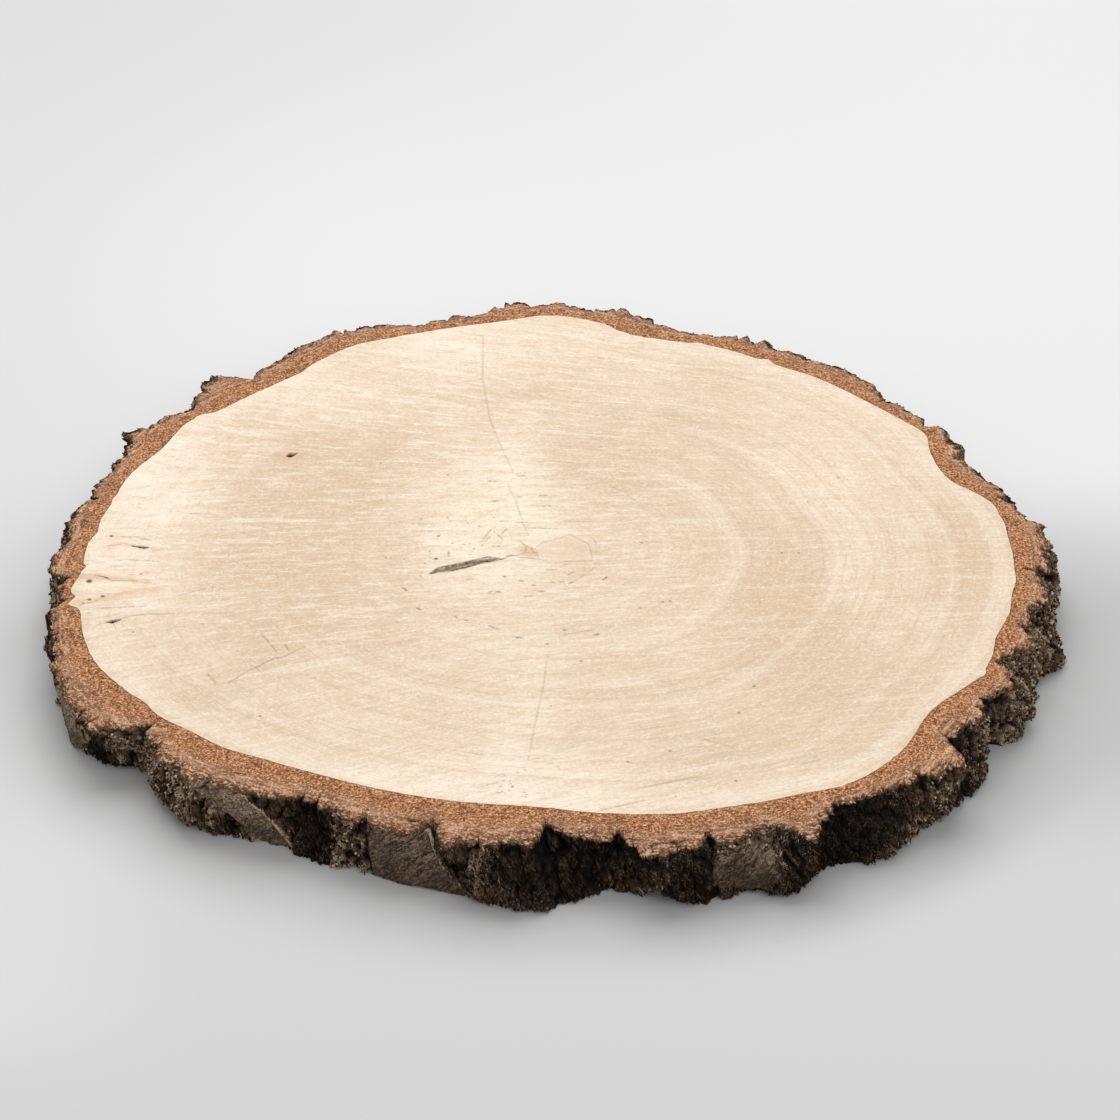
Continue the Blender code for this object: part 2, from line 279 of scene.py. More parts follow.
def bearing_of(points, centre):
    """Bearing round a centre, in radians from 0, and distance from it."""
    x, y = (points[:, :2] - centre).T
    return np.arctan2(y, x) % (2.0 * math.pi), np.hypot(x, y)


def wood_radii():
    """Radius of the wood's edge at each bearing, slightly uneven."""
    angle, radius = bearing_of(TOP_EDGE, CENTRE)
    order = np.argsort(angle)
    plain = np.median([np.roll(radius[order], step) for step in range(-3, 4)], axis=0)
    radii = np.interp(BEARINGS, angle[order], plain, period=2.0 * math.pi)
    radii = blur_round(radii, FACET_BLUR / COLUMN_STEP)
    for bearing, half_width, out in JOINT_BENDS:
        radii += out * np.exp(-0.5 * (turn_from(DEGREES, bearing) / half_width) ** 2)
    edge = flat_points(OUTWARD * GIRTH_RADIUS)
    return radii + JOINT_WOBBLE * layered_noise(edge / 3.0, SEED + 5)


WOOD_RADII = wood_radii()


def bark_sections():
    """For each bearing, points down the bark's outside: over the cut face, the side and below."""
    tree = BVHTree.FromPolygons([Vector(point) for point in SOLID], SOLID_FACES)
    tilts = np.radians(np.linspace(89.9, -89.9, SECTION_RAYS))
    reach = np.zeros((COLUMNS, SECTION_RAYS))
    flats = np.cos(tilts)
    rises = np.sin(tilts)
    for column, (out_x, out_y) in enumerate(OUTWARD):
        base = WOOD_RADII[column] + JOINT_GAP
        start = Vector((CENTRE[0] + out_x * base, CENTRE[1] + out_y * base, HALF_THICKNESS))
        for row in range(SECTION_RAYS):
            way = Vector((out_x * flats[row], out_y * flats[row], rises[row]))
            hit = tree.ray_cast(start, way)
            reach[column, row] = hit[3] if hit[3] is not None else HALF_THICKNESS
    reach = blur_round(reach, FACET_BLUR / COLUMN_STEP)
    radius = WOOD_RADII[:, None] + JOINT_GAP + reach * flats
    height = np.clip(HALF_THICKNESS + reach * rises, 0.0, THICKNESS)
    return radius, height


def spread(radius, height, first, last, rows):
    """Place rows evenly along one section, between two of its points."""
    r = radius[first:last + 1]
    z = height[first:last + 1]
    run = np.concatenate([[0.0], np.cumsum(np.hypot(np.diff(r), np.diff(z)))])
    places = np.linspace(0.0, run[-1], rows + 1)
    return np.stack([np.interp(places, run, r), np.interp(places, run, z)])


RIM = FACE_ROWS
FOOT = FACE_ROWS + SIDE_ROWS
LAST = FACE_ROWS + SIDE_ROWS + UNDERSIDE_ROWS


def bark_rows():
    """Even rows over the cut face, the side and the underside, for every bearing."""
    radius, height = bark_sections()
    rows_r = np.zeros((COLUMNS, LAST + 1))
    rows_z = np.zeros((COLUMNS, LAST + 1))
    rims = np.argmax(radius + height, axis=1)
    feet = np.argmax(radius - height, axis=1)
    for column, (rim, foot) in enumerate(zip(rims, feet)):
        section = (radius[column], height[column])
        face = spread(*section, 0, rim, FACE_ROWS)
        side = spread(*section, rim, foot, SIDE_ROWS)
        below = spread(*section, foot, SECTION_RAYS - 1, UNDERSIDE_ROWS)
        rows_r[column], rows_z[column] = np.hstack([face, side[:, 1:], below[:, 1:]])
    return rows_r, rows_z


# Forms of the outer bark. Places on it are a bearing in degrees and a share of the height.

# Smooth broken facets: how light they are, partly their own tone and partly painted light and shade by
# which way they face, and their outline
FACETS = (
    (0.9, ((206.4, 0.75), (208.8, 1), (212, 1), (214.6, 0.85), (214, 0.35), (211, 0), (207, 0.1))),
    (0.9, ((230.2, 1), (236.2, 1), (239.2, 0.66), (241.6, 0), (237.5, 0), (234.5, 0.4), (231.8, 0.6))),
    (0.25, ((251.4, 1), (257, 1), (259.2, 0.5), (262.4, 0), (256, 0), (251.2, 0), (250.8, 0.5))),
    (0.2, ((287, 0.72), (290, 0.88), (292.8, 0.72), (293.4, 0.3), (290.5, 0.08), (286.8, 0.2))),
    (0.5, ((21.5, 1), (27, 1), (29.5, 0.45), (25.5, 0), (20.5, 0.3))),
    (0.7, ((69, 0.9), (73.5, 1), (76, 0.6), (74, 0), (68.5, 0.2))),
    (0.8, ((117.5, 1), (124, 1), (123, 0.4), (119, 0), (115.5, 0), (116, 0.5))),
    (0.6, ((160.5, 0.8), (164.5, 0.95), (167, 0.4), (163.5, 0.05), (159.5, 0.3))),
)
FACET_EDGE = 0.7
FACET_PLANE = 0.75
PLACE_REACH = 4.0

# Thin raised edges of plates: half width, height and points
RIDGES = (
    (0.55, 1, ((256.9, 1), (257.6, 0.8), (259.2, 0.5), (262.4, 0))),
    (0.5, 0.7, ((230.4, 0.97), (233, 0.98), (236.3, 0.95), (239, 0.66), (241.2, 0))),
    (0.3, 0.4, ((264.9, 1), (265.4, 0.6), (266.4, 0.1))),
    (0.3, 0.35, ((263.6, 0.75), (264.9, 0.35), (265.3, 0.1))),
    (0.45, 0.6, ((212, 0.98), (214.8, 0.82), (214.2, 0.4))),
    (0.4, 0.3, ((251.6, 0.97), (254, 0.985), (256.4, 0.975))),
    (0.3, 0.4, ((217.8, 0.9), (219.4, 0.5), (219, 0.1))),
)

# Deep narrow notches in the rim: bearing, depth and half width in mm
NOTCHES = (
    (12, 4, 2), (38, 5, 2), (63, 6, 2), (81, 3.5, 1.5), (95, 4, 2), (107, 3, 1.5), (118, 6, 2.2),
    (131, 1.5, 1.6), (141, 3, 2), (152, 3.5, 1.5), (170, 5, 2), (188, 4, 2), (199, 3, 1.5), (216, 3, 1.4),
    (220.6, 4, 2), (242.4, 3.5, 1.6), (244.4, 4.5, 1.6), (257.4, 2, 1.5), (263, 3, 1.2), (270, 6.5, 3.8),
    (277.6, 6.5, 3.2), (286.7, 5, 1.7), (311, 3.5, 1.5), (318.2, 6, 2.4), (326.6, 3, 3), (333.4, 5, 2.6),
    (347.3, 3, 2), (354, 3, 1.6),
)
NOTCH_FLOOR = 0.35
NOTCH_POWER = 1.3

# Places where the rim has broken off and the crust slopes: bearing, half width in mm, depth
CHIPS = ((353, 6, 2), (344.5, 3, 1.5), (334.5, 6, 3), (320.8, 5, 3), (294.5, 5, 3), (283, 4, 2))
CHIP_FLOOR = 0.25

# Places where the cut face is dark crust in from the rim: bearing, half width and depth in mm
RIM_CRUST = (
    (23.8, 7, 5), (9.7, 4, 4), (16, 3, 1.5), (33.9, 2.5, 2.5), (37, 2.5, 2), (48, 4, 1.6), (59, 10, 2.2),
    (67, 3, 1.6), (76.2, 6, 2.4), (85, 4, 1.6), (93.6, 5, 3), (104, 4, 1.6), (113.8, 14, 1.8),
    (126, 4, 1.6), (138.2, 8, 3.4), (146, 3, 2), (153.9, 6, 3.4), (161, 3, 1.6), (167, 5, 1.8),
    (174, 4, 1.6), (180, 6, 1.5), (188, 3, 2), (190.5, 4, 4), (352.5, 7, 1.5), (334.6, 5, 3), (330, 4, 1.5),
    (257.3, 2, 3), (242.5, 2, 2), (286.5, 4, 2), (300, 4, 1.5),
)
RIM_FRINGE = 0.3
RIM_FRINGE_RANGE = 0.8

# Cracks and holes in the cut bark: half width and points in mm
BARK_CRACKS = (
    (0.45, ((-57.1, -191), (-51.3, -192.9), (-45.5, -192.9))),
    (0.7, ((-51.3, -192.9), (-51, -197), (-50.6, -201.2))),
    (0.45, ((35.3, -206.9), (39.1, -205), (43.7, -204.3), (48.7, -203.1))),
    (2, ((198.2, -43.8), (201.2, -45.8))),
)
CRACK_REACH = 5.0

# Places on the crust paler than the rest, or blacker where the amount is below 0:
# bearing, half width, level, half height, amount
PALE_PLACES = (
    (227.5, 6, 0.5, 0.8, 0.9), (248.5, 3, 0.5, 0.7, 0.8), (240.5, 2.5, 0.2, 0.4, 0.5),
    (210, 4.5, 0.5, 0.9, 0.5), (335, 15, 0.6, 0.9, 1.3), (352, 15, 0.6, 0.9, 1.5), (220, 5, 0.6, 0.7, 0.9),
    (266, 3, 0.1, 0.4, 0.5), (279, 4, 0.3, 0.5, 0.5), (291, 6, 0.8, 0.4, 0.6), (309, 8, 0.1, 0.3, 0.6),
    (50, 16, 0.5, 0.8, 0.4), (100, 12, 0.5, 0.8, 0.5), (145, 14, 0.5, 0.8, 0.4), (185, 12, 0.5, 0.8, 0.5),
    (237, 1.6, 0.15, 0.4, 0.6), (263.5, 1, 0.6, 0.5, 0.5), (313, 4, 0.5, 0.6, 0.5),
    (244, 3, 0.5, 0.8, -0.5), (266.5, 3, 0.6, 0.6, -0.4), (273, 4, 0.5, 0.8, -0.6), (301, 6, 0.6, 0.8, -1),
    (295.5, 2, 0.5, 0.8, -0.6), (318, 2, 0.6, 0.6, -0.9), (215.4, 2.6, 0.5, 0.9, -0.9),
    (278.5, 3, 0.7, 0.6, -0.7), (284.5, 2.5, 0.4, 0.6, -0.6), (243.5, 2.5, 0.6, 0.6, -0.8),
    (268, 3, 0.7, 0.6, -0.7), (273, 3, 0.4, 0.8, -0.8), (331, 1.5, 0.5, 0.7, -0.8),
    (339.5, 1.2, 0.5, 0.6, -0.6), (220.6, 1.2, 0.7, 0.8, -0.9), (326.5, 1.2, 0.7, 0.7, -1.2),
    (344.5, 1.4, 0.9, 0.4, -1.2), (354.5, 1.6, 0.7, 0.3, -0.8),
)


def on_bark(bearing, share):
    """Places on the outer bark in mm: along the girth and up the side."""
    return np.stack([bearing * DEGREE, share * THICKNESS], axis=-1)


def near_place(places, outline):
    """Which places lie within reach of a form, and the form in mm."""
    form = on_bark(*np.asarray(outline, dtype=float).T)
    return near_box(places, form, PLACE_REACH), form


def facet_masks(places, warp):
    """For each facet, 1 on it and 0 off it."""
    moved = places + warp
    masks = []
    for _, outline in FACETS:
        mask = np.zeros(len(places))
        near, form = near_place(moved, outline)
        mask[near] = ease(-FACET_EDGE, FACET_EDGE, inside_outline(moved[near], form))
        masks.append(mask)
    return masks


def ridge_height(places, warp):
    """Height of the thin raised edges, in mm."""
    moved = places + warp
    height = np.zeros(len(places))
    for half_width, rise, line in RIDGES:
        near, form = near_place(moved, line)
        gap = from_line(moved[near], form)[0]
        height[near] = np.maximum(height[near], rise * ease(half_width * 2.0, 0.0, gap))
    return height


def notch_depth(places):
    """How deep the rim's notches cut in, in mm, and how far its broken places slope back."""
    bearings = places[:, 0] / DEGREE
    share = places[:, 1] / THICKNESS
    depth = np.zeros(len(places))
    chip = np.zeros(len(places))
    for bearing, cut, half_width in NOTCHES:
        inward = np.clip(1.0 - girth_gap(bearings, bearing) / half_width, 0.0, 1.0) ** NOTCH_POWER
        depth = np.maximum(depth, cut * inward * ease(NOTCH_FLOOR, 1.0, share))
    for bearing, half_width, cut in CHIPS:
        broken = spot(girth_gap(bearings, bearing), half_width, 1.5)
        chip = np.maximum(chip, cut * broken * ease(CHIP_FLOOR, 1.0, share))
    return depth, chip


def pale_share(places):
    """How pale the rough crust is, from 0 to 1, or how much blacker where it is below 0."""
    pale = np.zeros(len(places))
    black = np.zeros(len(places))
    for bearing, half_width, level, half_height, amount in PALE_PLACES:
        turn = turn_from(places[:, 0] / DEGREE, bearing)
        rise = places[:, 1] / THICKNESS - level
        share = amount * ease(1.25, 0.5, np.hypot(turn / half_width, rise / half_height))
        pale = np.maximum(pale, share)
        black = np.minimum(black, share)
    return pale + black


# The rough crust stands out all over by the lift, and is calmer where the saw cut it
RIM_CALM = 0.7
RIM_CALM_FROM = 0.8
RELIEF_LIFT = 0.8

# Sizes in mm of the crust's forms
CRUST_WARP = 2.2
BLOCK_SIZE = 7.5
LUMP_SIZE = 2.7
GRAIN_SIZE = 1.4

# Their heights and depths in mm
BLOCK_HEIGHT = 3.0
BLOCK_GROOVE = 2.2
FISSURE_DEPTH = 2.6
SHELF_DEPTH = 1.3
LUMP_HEIGHT = 1.3
GRAIN_HEIGHT = 0.7
RIB_HEIGHT = 0.9


def upright(points, rise, size):
    """Points for a noise of a size in mm, long up the side where rise is under 1."""
    return points * np.array([1.0, 1.0, rise]) / size


def crack_lines(points, seed):
    """1 on thin wandering lines, 0 off them."""
    return ease(0.12, 0.0, np.abs(value_noise(points, SEED + seed)))


def crust_relief(points):
    """How far the rough crust stands out from the solid, in mm, and the lightness of its grains: random for
    each grain and lump, and higher on raised grain middles and ribs, a painted highlight.
    """
    drawn = points + drift(points, 6.0, 1, 2, 3) * CRUST_WARP
    near, next_near, number = cell_noise(upright(drawn, 0.38, BLOCK_SIZE), SEED + 10)
    blocks = (number - 0.5) * BLOCK_HEIGHT - BLOCK_GROOVE * ease(0.16, 0.0, next_near - near)
    fissures = -FISSURE_DEPTH * crack_lines(upright(drawn, 0.38, 8.0), 20)
    fissures = fissures * ease(-0.5, 0.3, value_noise(points / 24.0, SEED + 22))
    shelf = -SHELF_DEPTH * crack_lines(upright(drawn, 2.0, 9.0), 25)
    near_small, _, number_small = cell_noise(upright(drawn, 0.55, LUMP_SIZE), SEED + 30)
    lumps = LUMP_HEIGHT * (0.55 - near_small) + 0.7 * (number_small - 0.5)
    ribs = value_noise(upright(drawn, 0.2, 2.0), SEED + 35)
    ribs = ribs * ease(-0.6, 0.3, value_noise(points / 16.0, SEED + 37))
    near_grain, _, number_grain = cell_noise(upright(drawn, 0.45, GRAIN_SIZE), SEED + 40)
    grains = GRAIN_HEIGHT * (0.5 - near_grain) + 0.5 * (number_grain - 0.5)
    calm = 1.0 - RIM_CALM * ease(RIM_CALM_FROM, 0.97, points[:, 2] / THICKNESS)
    ribs = ribs * calm ** 3
    tint = 0.4 * number_grain + 0.3 * number_small + 0.3 * (0.5 - near_grain) + 0.5 * ribs
    coarse = (blocks + fissures) * (0.25 + 0.75 * calm) + shelf * calm + RIB_HEIGHT * ribs
    return RELIEF_LIFT + coarse + (lumps + grains) * calm, np.clip(tint, 0.0, 1.0)


def rim_crust(face, inward):
    """1 where the cut face is dark crust, 0 where it is clean bark."""
    girth = np.repeat(DEGREES, FACE_ROWS + 1)
    depth = RIM_FRINGE + RIM_FRINGE_RANGE * layered_noise(face / 5.0, SEED + 98)
    for bearing, half_width, deep in RIM_CRUST:
        depth = np.maximum(depth, deep * spot(girth_gap(girth, bearing), half_width))
    ragged = 1.0 + 0.6 * layered_noise(face / 2.5, SEED + 99)
    crusty = ease(-0.3, 0.3, depth * ragged - inward)
    for half_width, line in BARK_CRACKS:
        near = near_box(face[:, :2], line, CRACK_REACH)
        gap = from_line(face[near, :2], line)[0] / ragged[near]
        crusty[near] = np.maximum(crusty[near], ease(half_width + 0.4, half_width - 0.1, gap))
    return crusty


def face_relief(points, share):
    """Height of the small steps and pits of the cut bark, in mm."""
    fine = 0.2 * value_noise(points, SEED + 60)
    near, next_near, number = cell_noise(points * np.array([0.16, 0.16, 0.0]), SEED + 70)
    steps = -0.5 * number * ease(0.45, 0.95, share) * ease(0.05, 0.2, next_near - near)
    chips = -0.9 * ease(0.2, 0.6, value_noise(points / 2.4, SEED + 80)) * ease(0.6, 1.0, share)
    return fine + steps + chips


SHARP_ANGLE = math.radians(50.0)


def mesh_object(name, points, faces, material, smooth=True):
    """Make an object from points in mm."""
    mesh = bpy.data.meshes.new(name)
    mesh.from_pydata(np.asarray(points) * MM, [], faces)
    mesh.materials.append(material)
    flags = np.broadcast_to(smooth, len(mesh.polygons))
    mesh.polygons.foreach_set("use_smooth", np.ascontiguousarray(flags))
    mesh.update()
    mesh.set_sharp_from_angle(angle=SHARP_ANGLE)
    item = bpy.data.objects.new(name, mesh)
    bpy.context.scene.collection.objects.link(item)
    return item


def add_values(item, name, values):
    """Store a number, or three, for each point of a mesh, for its material to read."""
    values = np.asarray(values, dtype=np.float32)
    if values.ndim == 2:
        layer = item.data.attributes.new(name, 'FLOAT_VECTOR', 'POINT')
        layer.data.foreach_set("vector", values.ravel())
    else:
        layer = item.data.attributes.new(name, 'FLOAT', 'POINT')
        layer.data.foreach_set("value", values)


def ring_faces(rows):
    """Faces of a closed ring made of loops that each go once round the slice."""
    column = np.arange(COLUMNS)[:, None]
    row = np.arange(rows)[None, :]
    here = column * rows
    there = (column + 1) % COLUMNS * rows
    after = (row + 1) % rows
    corners = np.stack([here + row, here + after, there + after, there + row], axis=-1)
    return corners.reshape(-1, 4).tolist()


def to_points(radius, height, sway):
    """Points from radius, height and a small shift along the girth, in mm."""
    angle = BEARINGS[:, None] + sway / GIRTH_RADIUS
    x = CENTRE[0] + radius * np.cos(angle)
    y = CENTRE[1] + radius * np.sin(angle)
    return np.stack([x, y, height], axis=2)


def rescale(radius, first, last, new_first, new_last):
    """Stretch a run of rows so that its ends reach new radii."""
    old = radius[:, first:last + 1]
    span = old[:, -1:] - old[:, :1]
    share = (old - old[:, :1]) / np.where(np.abs(span) < 1e-6, 1e-6, span)
    return new_first[:, None] + share * (new_last - new_first)[:, None]


def swell(places):
    """How far the bark bulges past the solid at each place, in mm."""
    bearings = places[:, 0] / DEGREE
    share = places[:, 1] / THICKNESS
    out = np.zeros(len(places))
    for bearing, half_width, rim, foot in SWELLS:
        turn = np.abs(turn_from(bearings, bearing))
        out += (foot + (rim - foot) * share) * ease(half_width, half_width * 0.5, turn)
    upper = ease(LOBE_FLOOR, 1.0, share)
    for bearing, half_width, reach in RIM_LOBES:
        out += reach * upper * spot(np.abs(turn_from(bearings, bearing)), half_width)
    return out


def flatten_facets(radius, places, masks):
    """Draw the bark's radius towards a plane on each facet."""
    for mask in masks:
        inside = mask > 0.5
        terms = np.column_stack([np.ones(inside.sum()), places[inside]])
        fit = np.linalg.lstsq(terms, radius[inside], rcond=None)[0]
        plane = fit[0] + places @ fit[1:]
        radius = radius + FACET_PLANE * mask * (plane - radius)
    return radius


def shape_side(side, side_radius):
    """New radii of the bark's side, its shift along the girth, and what its material reads."""
    places = on_bark(np.repeat(DEGREES, SIDE_ROWS + 1), side[:, 2] / THICKNESS)
    warp = 0.9 * drift(side, 3.5, 91, 95)
    masks = facet_masks(places, warp)
    smooth = np.max(masks, axis=0)
    side_radius = flatten_facets(side_radius, places, masks)
    ridge = ridge_height(places, warp * 0.5)
    rough, tint = crust_relief(side)
    calm = 0.25 * layered_noise(side / 2.5, SEED + 50) + 0.3
    relief = rough * (1.0 - smooth) + calm * smooth
    relief = relief * (1.0 - 0.7 * ease(0.1, 0.5, ridge)) + ridge
    depth, chip = notch_depth(places + warp)
    push = relief - depth - chip + swell(places)
    room = side_radius - np.repeat(WOOD_RADII, SIDE_ROWS + 1)
    push = np.maximum(push, -0.7 * room)
    shift = 0.6 * value_noise(side / 2.0, SEED + 97) * (1.0 - smooth)
    values = {
        "relief": relief - depth,
        "smooth": smooth,
        "light": np.max([mask * facet[0] for mask, facet in zip(masks, FACETS)], axis=0),
        "ridge": ridge,
        "pale": pale_share(places + 4.0 * warp),
        "tint": tint,
    }
    return (side_radius + push).reshape(COLUMNS, -1), shift.reshape(COLUMNS, -1), values


def shape_bark():
    """The bark's rows as radius, height and shift, with what its materials read."""
    radius, height = bark_rows()
    sway = np.zeros_like(radius)
    side = to_points(radius, height, sway)[:, RIM:FOOT + 1].reshape(-1, 3)
    side_radius, shift, values = shape_side(side, radius[:, RIM:FOOT + 1].ravel())
    sway[:, RIM:FOOT + 1] = shift
    sway[:, :RIM + 1] = sway[:, RIM:RIM + 1] * np.linspace(0.0, 1.0, FACE_ROWS + 1) ** 4
    radius[:, :RIM + 1] = rescale(radius, 0, RIM, radius[:, 0], side_radius[:, 0])
    radius[:, FOOT:] = rescale(radius, FOOT, LAST, side_radius[:, -1], radius[:, -1])
    radius[:, RIM:FOOT + 1] = side_radius
    face = to_points(radius, height, sway)[:, :RIM + 1].reshape(-1, 3)
    share = np.tile(np.linspace(0.0, 1.0, FACE_ROWS + 1), COLUMNS)
    crusty = rim_crust(face, (radius[:, RIM:RIM + 1] - radius[:, :RIM + 1]).ravel())
    lift = face_relief(face, share) * ease(0.0, 0.12, share)
    lift -= crusty * (0.3 + 1.3 * cell_noise(face / 2.2, SEED + 101)[0])
    height[:, :RIM + 1] += lift.reshape(COLUMNS, -1)
    return radius, np.clip(height, 0.0, THICKNESS), sway, values, crusty.reshape(COLUMNS, -1)


# The walls that close the pieces behind, and how far the fibres lean from upright
HIDDEN_STEP = 3.0
HIDDEN_GAP = 0.8
HIDDEN_INSET = 1.0
LEAST_BARK = 1.5
FIBRE_LEAN = 0.75


def make_cut_bark(radius, height, sway, inner, crusty, material):
    """The cut face of the bark, its inner wall and its underside."""
    def loops(values, upper, lower):
        return np.column_stack([values[:, :RIM + 1], upper, lower, values[:, FOOT:]])
    rings_r = loops(radius, inner - HIDDEN_GAP, inner - HIDDEN_GAP)
    step = np.full(COLUMNS, HIDDEN_STEP + HIDDEN_GAP)
    rings_z = loops(height, THICKNESS - step, step)
    rings_s = loops(sway, sway[:, RIM], sway[:, FOOT])
    points = to_points(rings_r, rings_z, rings_s).reshape(-1, 3)
    bark = mesh_object("slice_bark", points, ring_faces(rings_r.shape[1]), material)
    across = rings_r - WOOD_RADII[:, None]
    width = np.maximum(radius[:, RIM] - WOOD_RADII, 1.0)[:, None]
    girth = np.repeat(OUTWARD * GIRTH_RADIUS, rings_r.shape[1], axis=0)
    face_crust = np.zeros_like(rings_r)
    face_crust[:, :RIM + 1] = crusty
    foot = np.zeros_like(rings_r)
    foot[:, RIM + 3:] = np.linspace(1.0, 0.0, UNDERSIDE_ROWS + 1)
    add_values(bark, "across", np.clip(across / width, 0.0, 1.0).ravel())
    add_values(bark, "from_joint", across.ravel())
    add_values(bark, "girth", np.column_stack([girth, across.ravel()]))
    add_values(bark, "crusty", face_crust.ravel())
    add_values(bark, "foot", foot.ravel())
    return bark


def make_crust(radius, height, sway, inner, values, material):
    """The rough outer bark, closed behind by a plain hidden wall."""
    low = np.full(COLUMNS, HIDDEN_STEP)
    rings_r = np.column_stack([radius[:, RIM:FOOT + 1], inner, inner])
    rings_z = np.column_stack([height[:, RIM:FOOT + 1], low, THICKNESS - low])
    rings_s = np.column_stack([sway[:, RIM:FOOT + 1], sway[:, FOOT], sway[:, RIM]])
    points = to_points(rings_r, rings_z, rings_s).reshape(-1, 3)
    calm = np.column_stack([values["smooth"].reshape(COLUMNS, -1), np.ones((COLUMNS, 2))])
    crust = mesh_object("slice_crust", points, ring_faces(rings_r.shape[1]), material, calm.ravel() > 0.3)
    for name, numbers in values.items():
        full = np.column_stack([numbers.reshape(COLUMNS, -1), np.zeros((COLUMNS, 2))])
        add_values(crust, name, full.ravel())
    angle = BEARINGS[:, None] - rings_z * FIBRE_LEAN / GIRTH_RADIUS
    fibres = np.stack([np.cos(angle) * GIRTH_RADIUS, np.sin(angle) * GIRTH_RADIUS, rings_z], axis=2)
    add_values(crust, "fibres", fibres.reshape(-1, 3))
    return crust


# Loose crumbs that stud the crust
CRUMBS = 24000
CRUMB_SIZES = (0.3, 0.9)
SLIVER_SHAPE = (0.5, 0.5, 2.6)
SLIVER_LEAN = -0.25
CRUMB_SCATTER = 0.25
CRUMB_FLOOR = 0.02
OCTAHEDRON = np.array([(1, 0, 0), (-1, 0, 0), (0, 1, 0), (0, -1, 0), (0, 0, 1), (0, 0, -1)], dtype=float)
OCTAHEDRON_FACES = np.array(
    [(0, 2, 4), (2, 1, 4), (1, 3, 4), (3, 0, 4), (2, 0, 5), (1, 2, 5), (3, 1, 5), (0, 3, 5)]
)


def make_crumbs(crust, values, material):
    """Small broken grains half sunk in the crust."""
    draw = np.random.default_rng(SEED)
    points = np.zeros(len(crust.data.vertices) * 3)
    crust.data.vertices.foreach_get("co", points)
    points = (points.reshape(COLUMNS, -1, 3) / MM)[:, 1:SIDE_ROWS].reshape(-1, 3)
    smooth, pale, relief = [
        values[name].reshape(COLUMNS, -1)[:, 1:SIDE_ROWS].ravel() for name in ("smooth", "pale", "relief")
    ]
    angle, _ = bearing_of(points, CENTRE)
    behind = ease(-0.3, 0.3, np.sin(angle))
    rim = ease(THICKNESS - 4.0, THICKNESS - 1.0, points[:, 2])
    chance = (1.0 - smooth) * (0.1 + ease(-1.5, 0.8, relief)) * (1.0 - 0.5 * behind) * (1.0 - 0.8 * rim)
    chosen = draw.choice(len(points), CRUMBS, replace=False, p=chance / chance.sum())
    points, angle, pale, relief = points[chosen], angle[chosen], pale[chosen], relief[chosen]
    plain = np.maximum(rim, behind)[chosen]
    size = CRUMB_SIZES[0] + (CRUMB_SIZES[1] - CRUMB_SIZES[0]) * draw.random(CRUMBS) ** 2.0
    size *= 1.0 - 0.4 * plain
    stretch = draw.uniform(0.55, 1.3, (CRUMBS, len(OCTAHEDRON), 1))
    grain = OCTAHEDRON[None] * stretch * size[:, None, None]
    turns, _ = np.linalg.qr(draw.normal(size=(CRUMBS, 3, 3)))
    turns[:, :, 0] *= np.sign(np.linalg.det(turns))[:, None]
    grain = np.einsum("nij,nkj->nki", turns, grain)
    sliver = draw.random(CRUMBS) < ease(0.9, 0.1, pale) * (1.0 - plain)
    grain = grain * np.where(sliver[:, None], SLIVER_SHAPE, (1.0, 1.0, 1.0))[:, None]
    lean = draw.normal(SLIVER_LEAN, 0.4, CRUMBS) * sliver
    out = np.stack([np.cos(angle), np.sin(angle), np.zeros(CRUMBS)], axis=1)
    along = np.cross((0.0, 0.0, 1.0), out)
    grain = grain + (grain[:, :, 2] * lean[:, None])[:, :, None] * along[:, None]
    middle = points + draw.uniform(-CRUMB_SCATTER, CRUMB_SCATTER, (CRUMBS, 3)) + out * size[:, None] * 0.25
    corners = (middle[:, None] + grain).reshape(-1, 3)
    corners[:, 2] = np.clip(corners[:, 2], CRUMB_FLOOR, THICKNESS)
    faces = (np.arange(CRUMBS)[:, None, None] * len(OCTAHEDRON) + OCTAHEDRON_FACES[None]).reshape(-1, 3)
    crumbs = mesh_object("bark_crumbs", corners, faces.tolist(), material, False)
    black = ease(0.0, -0.8, pale)
    shade = draw.random(CRUMBS) ** (1.4 + 3.0 * black) * (0.45 + 0.55 * ease(-0.3, 0.7, pale))
    # Painted shade: crumbs low in fissures and pits are darker.
    shade *= 0.5 + 0.5 * ease(-1.5, 0.3, relief)
    add_values(crumbs, "shade", np.repeat(shade, len(OCTAHEDRON)))
    return crumbs


# The wood. All its marks are in mm from the view point.

PITH = np.array((-3.0, 8.0))

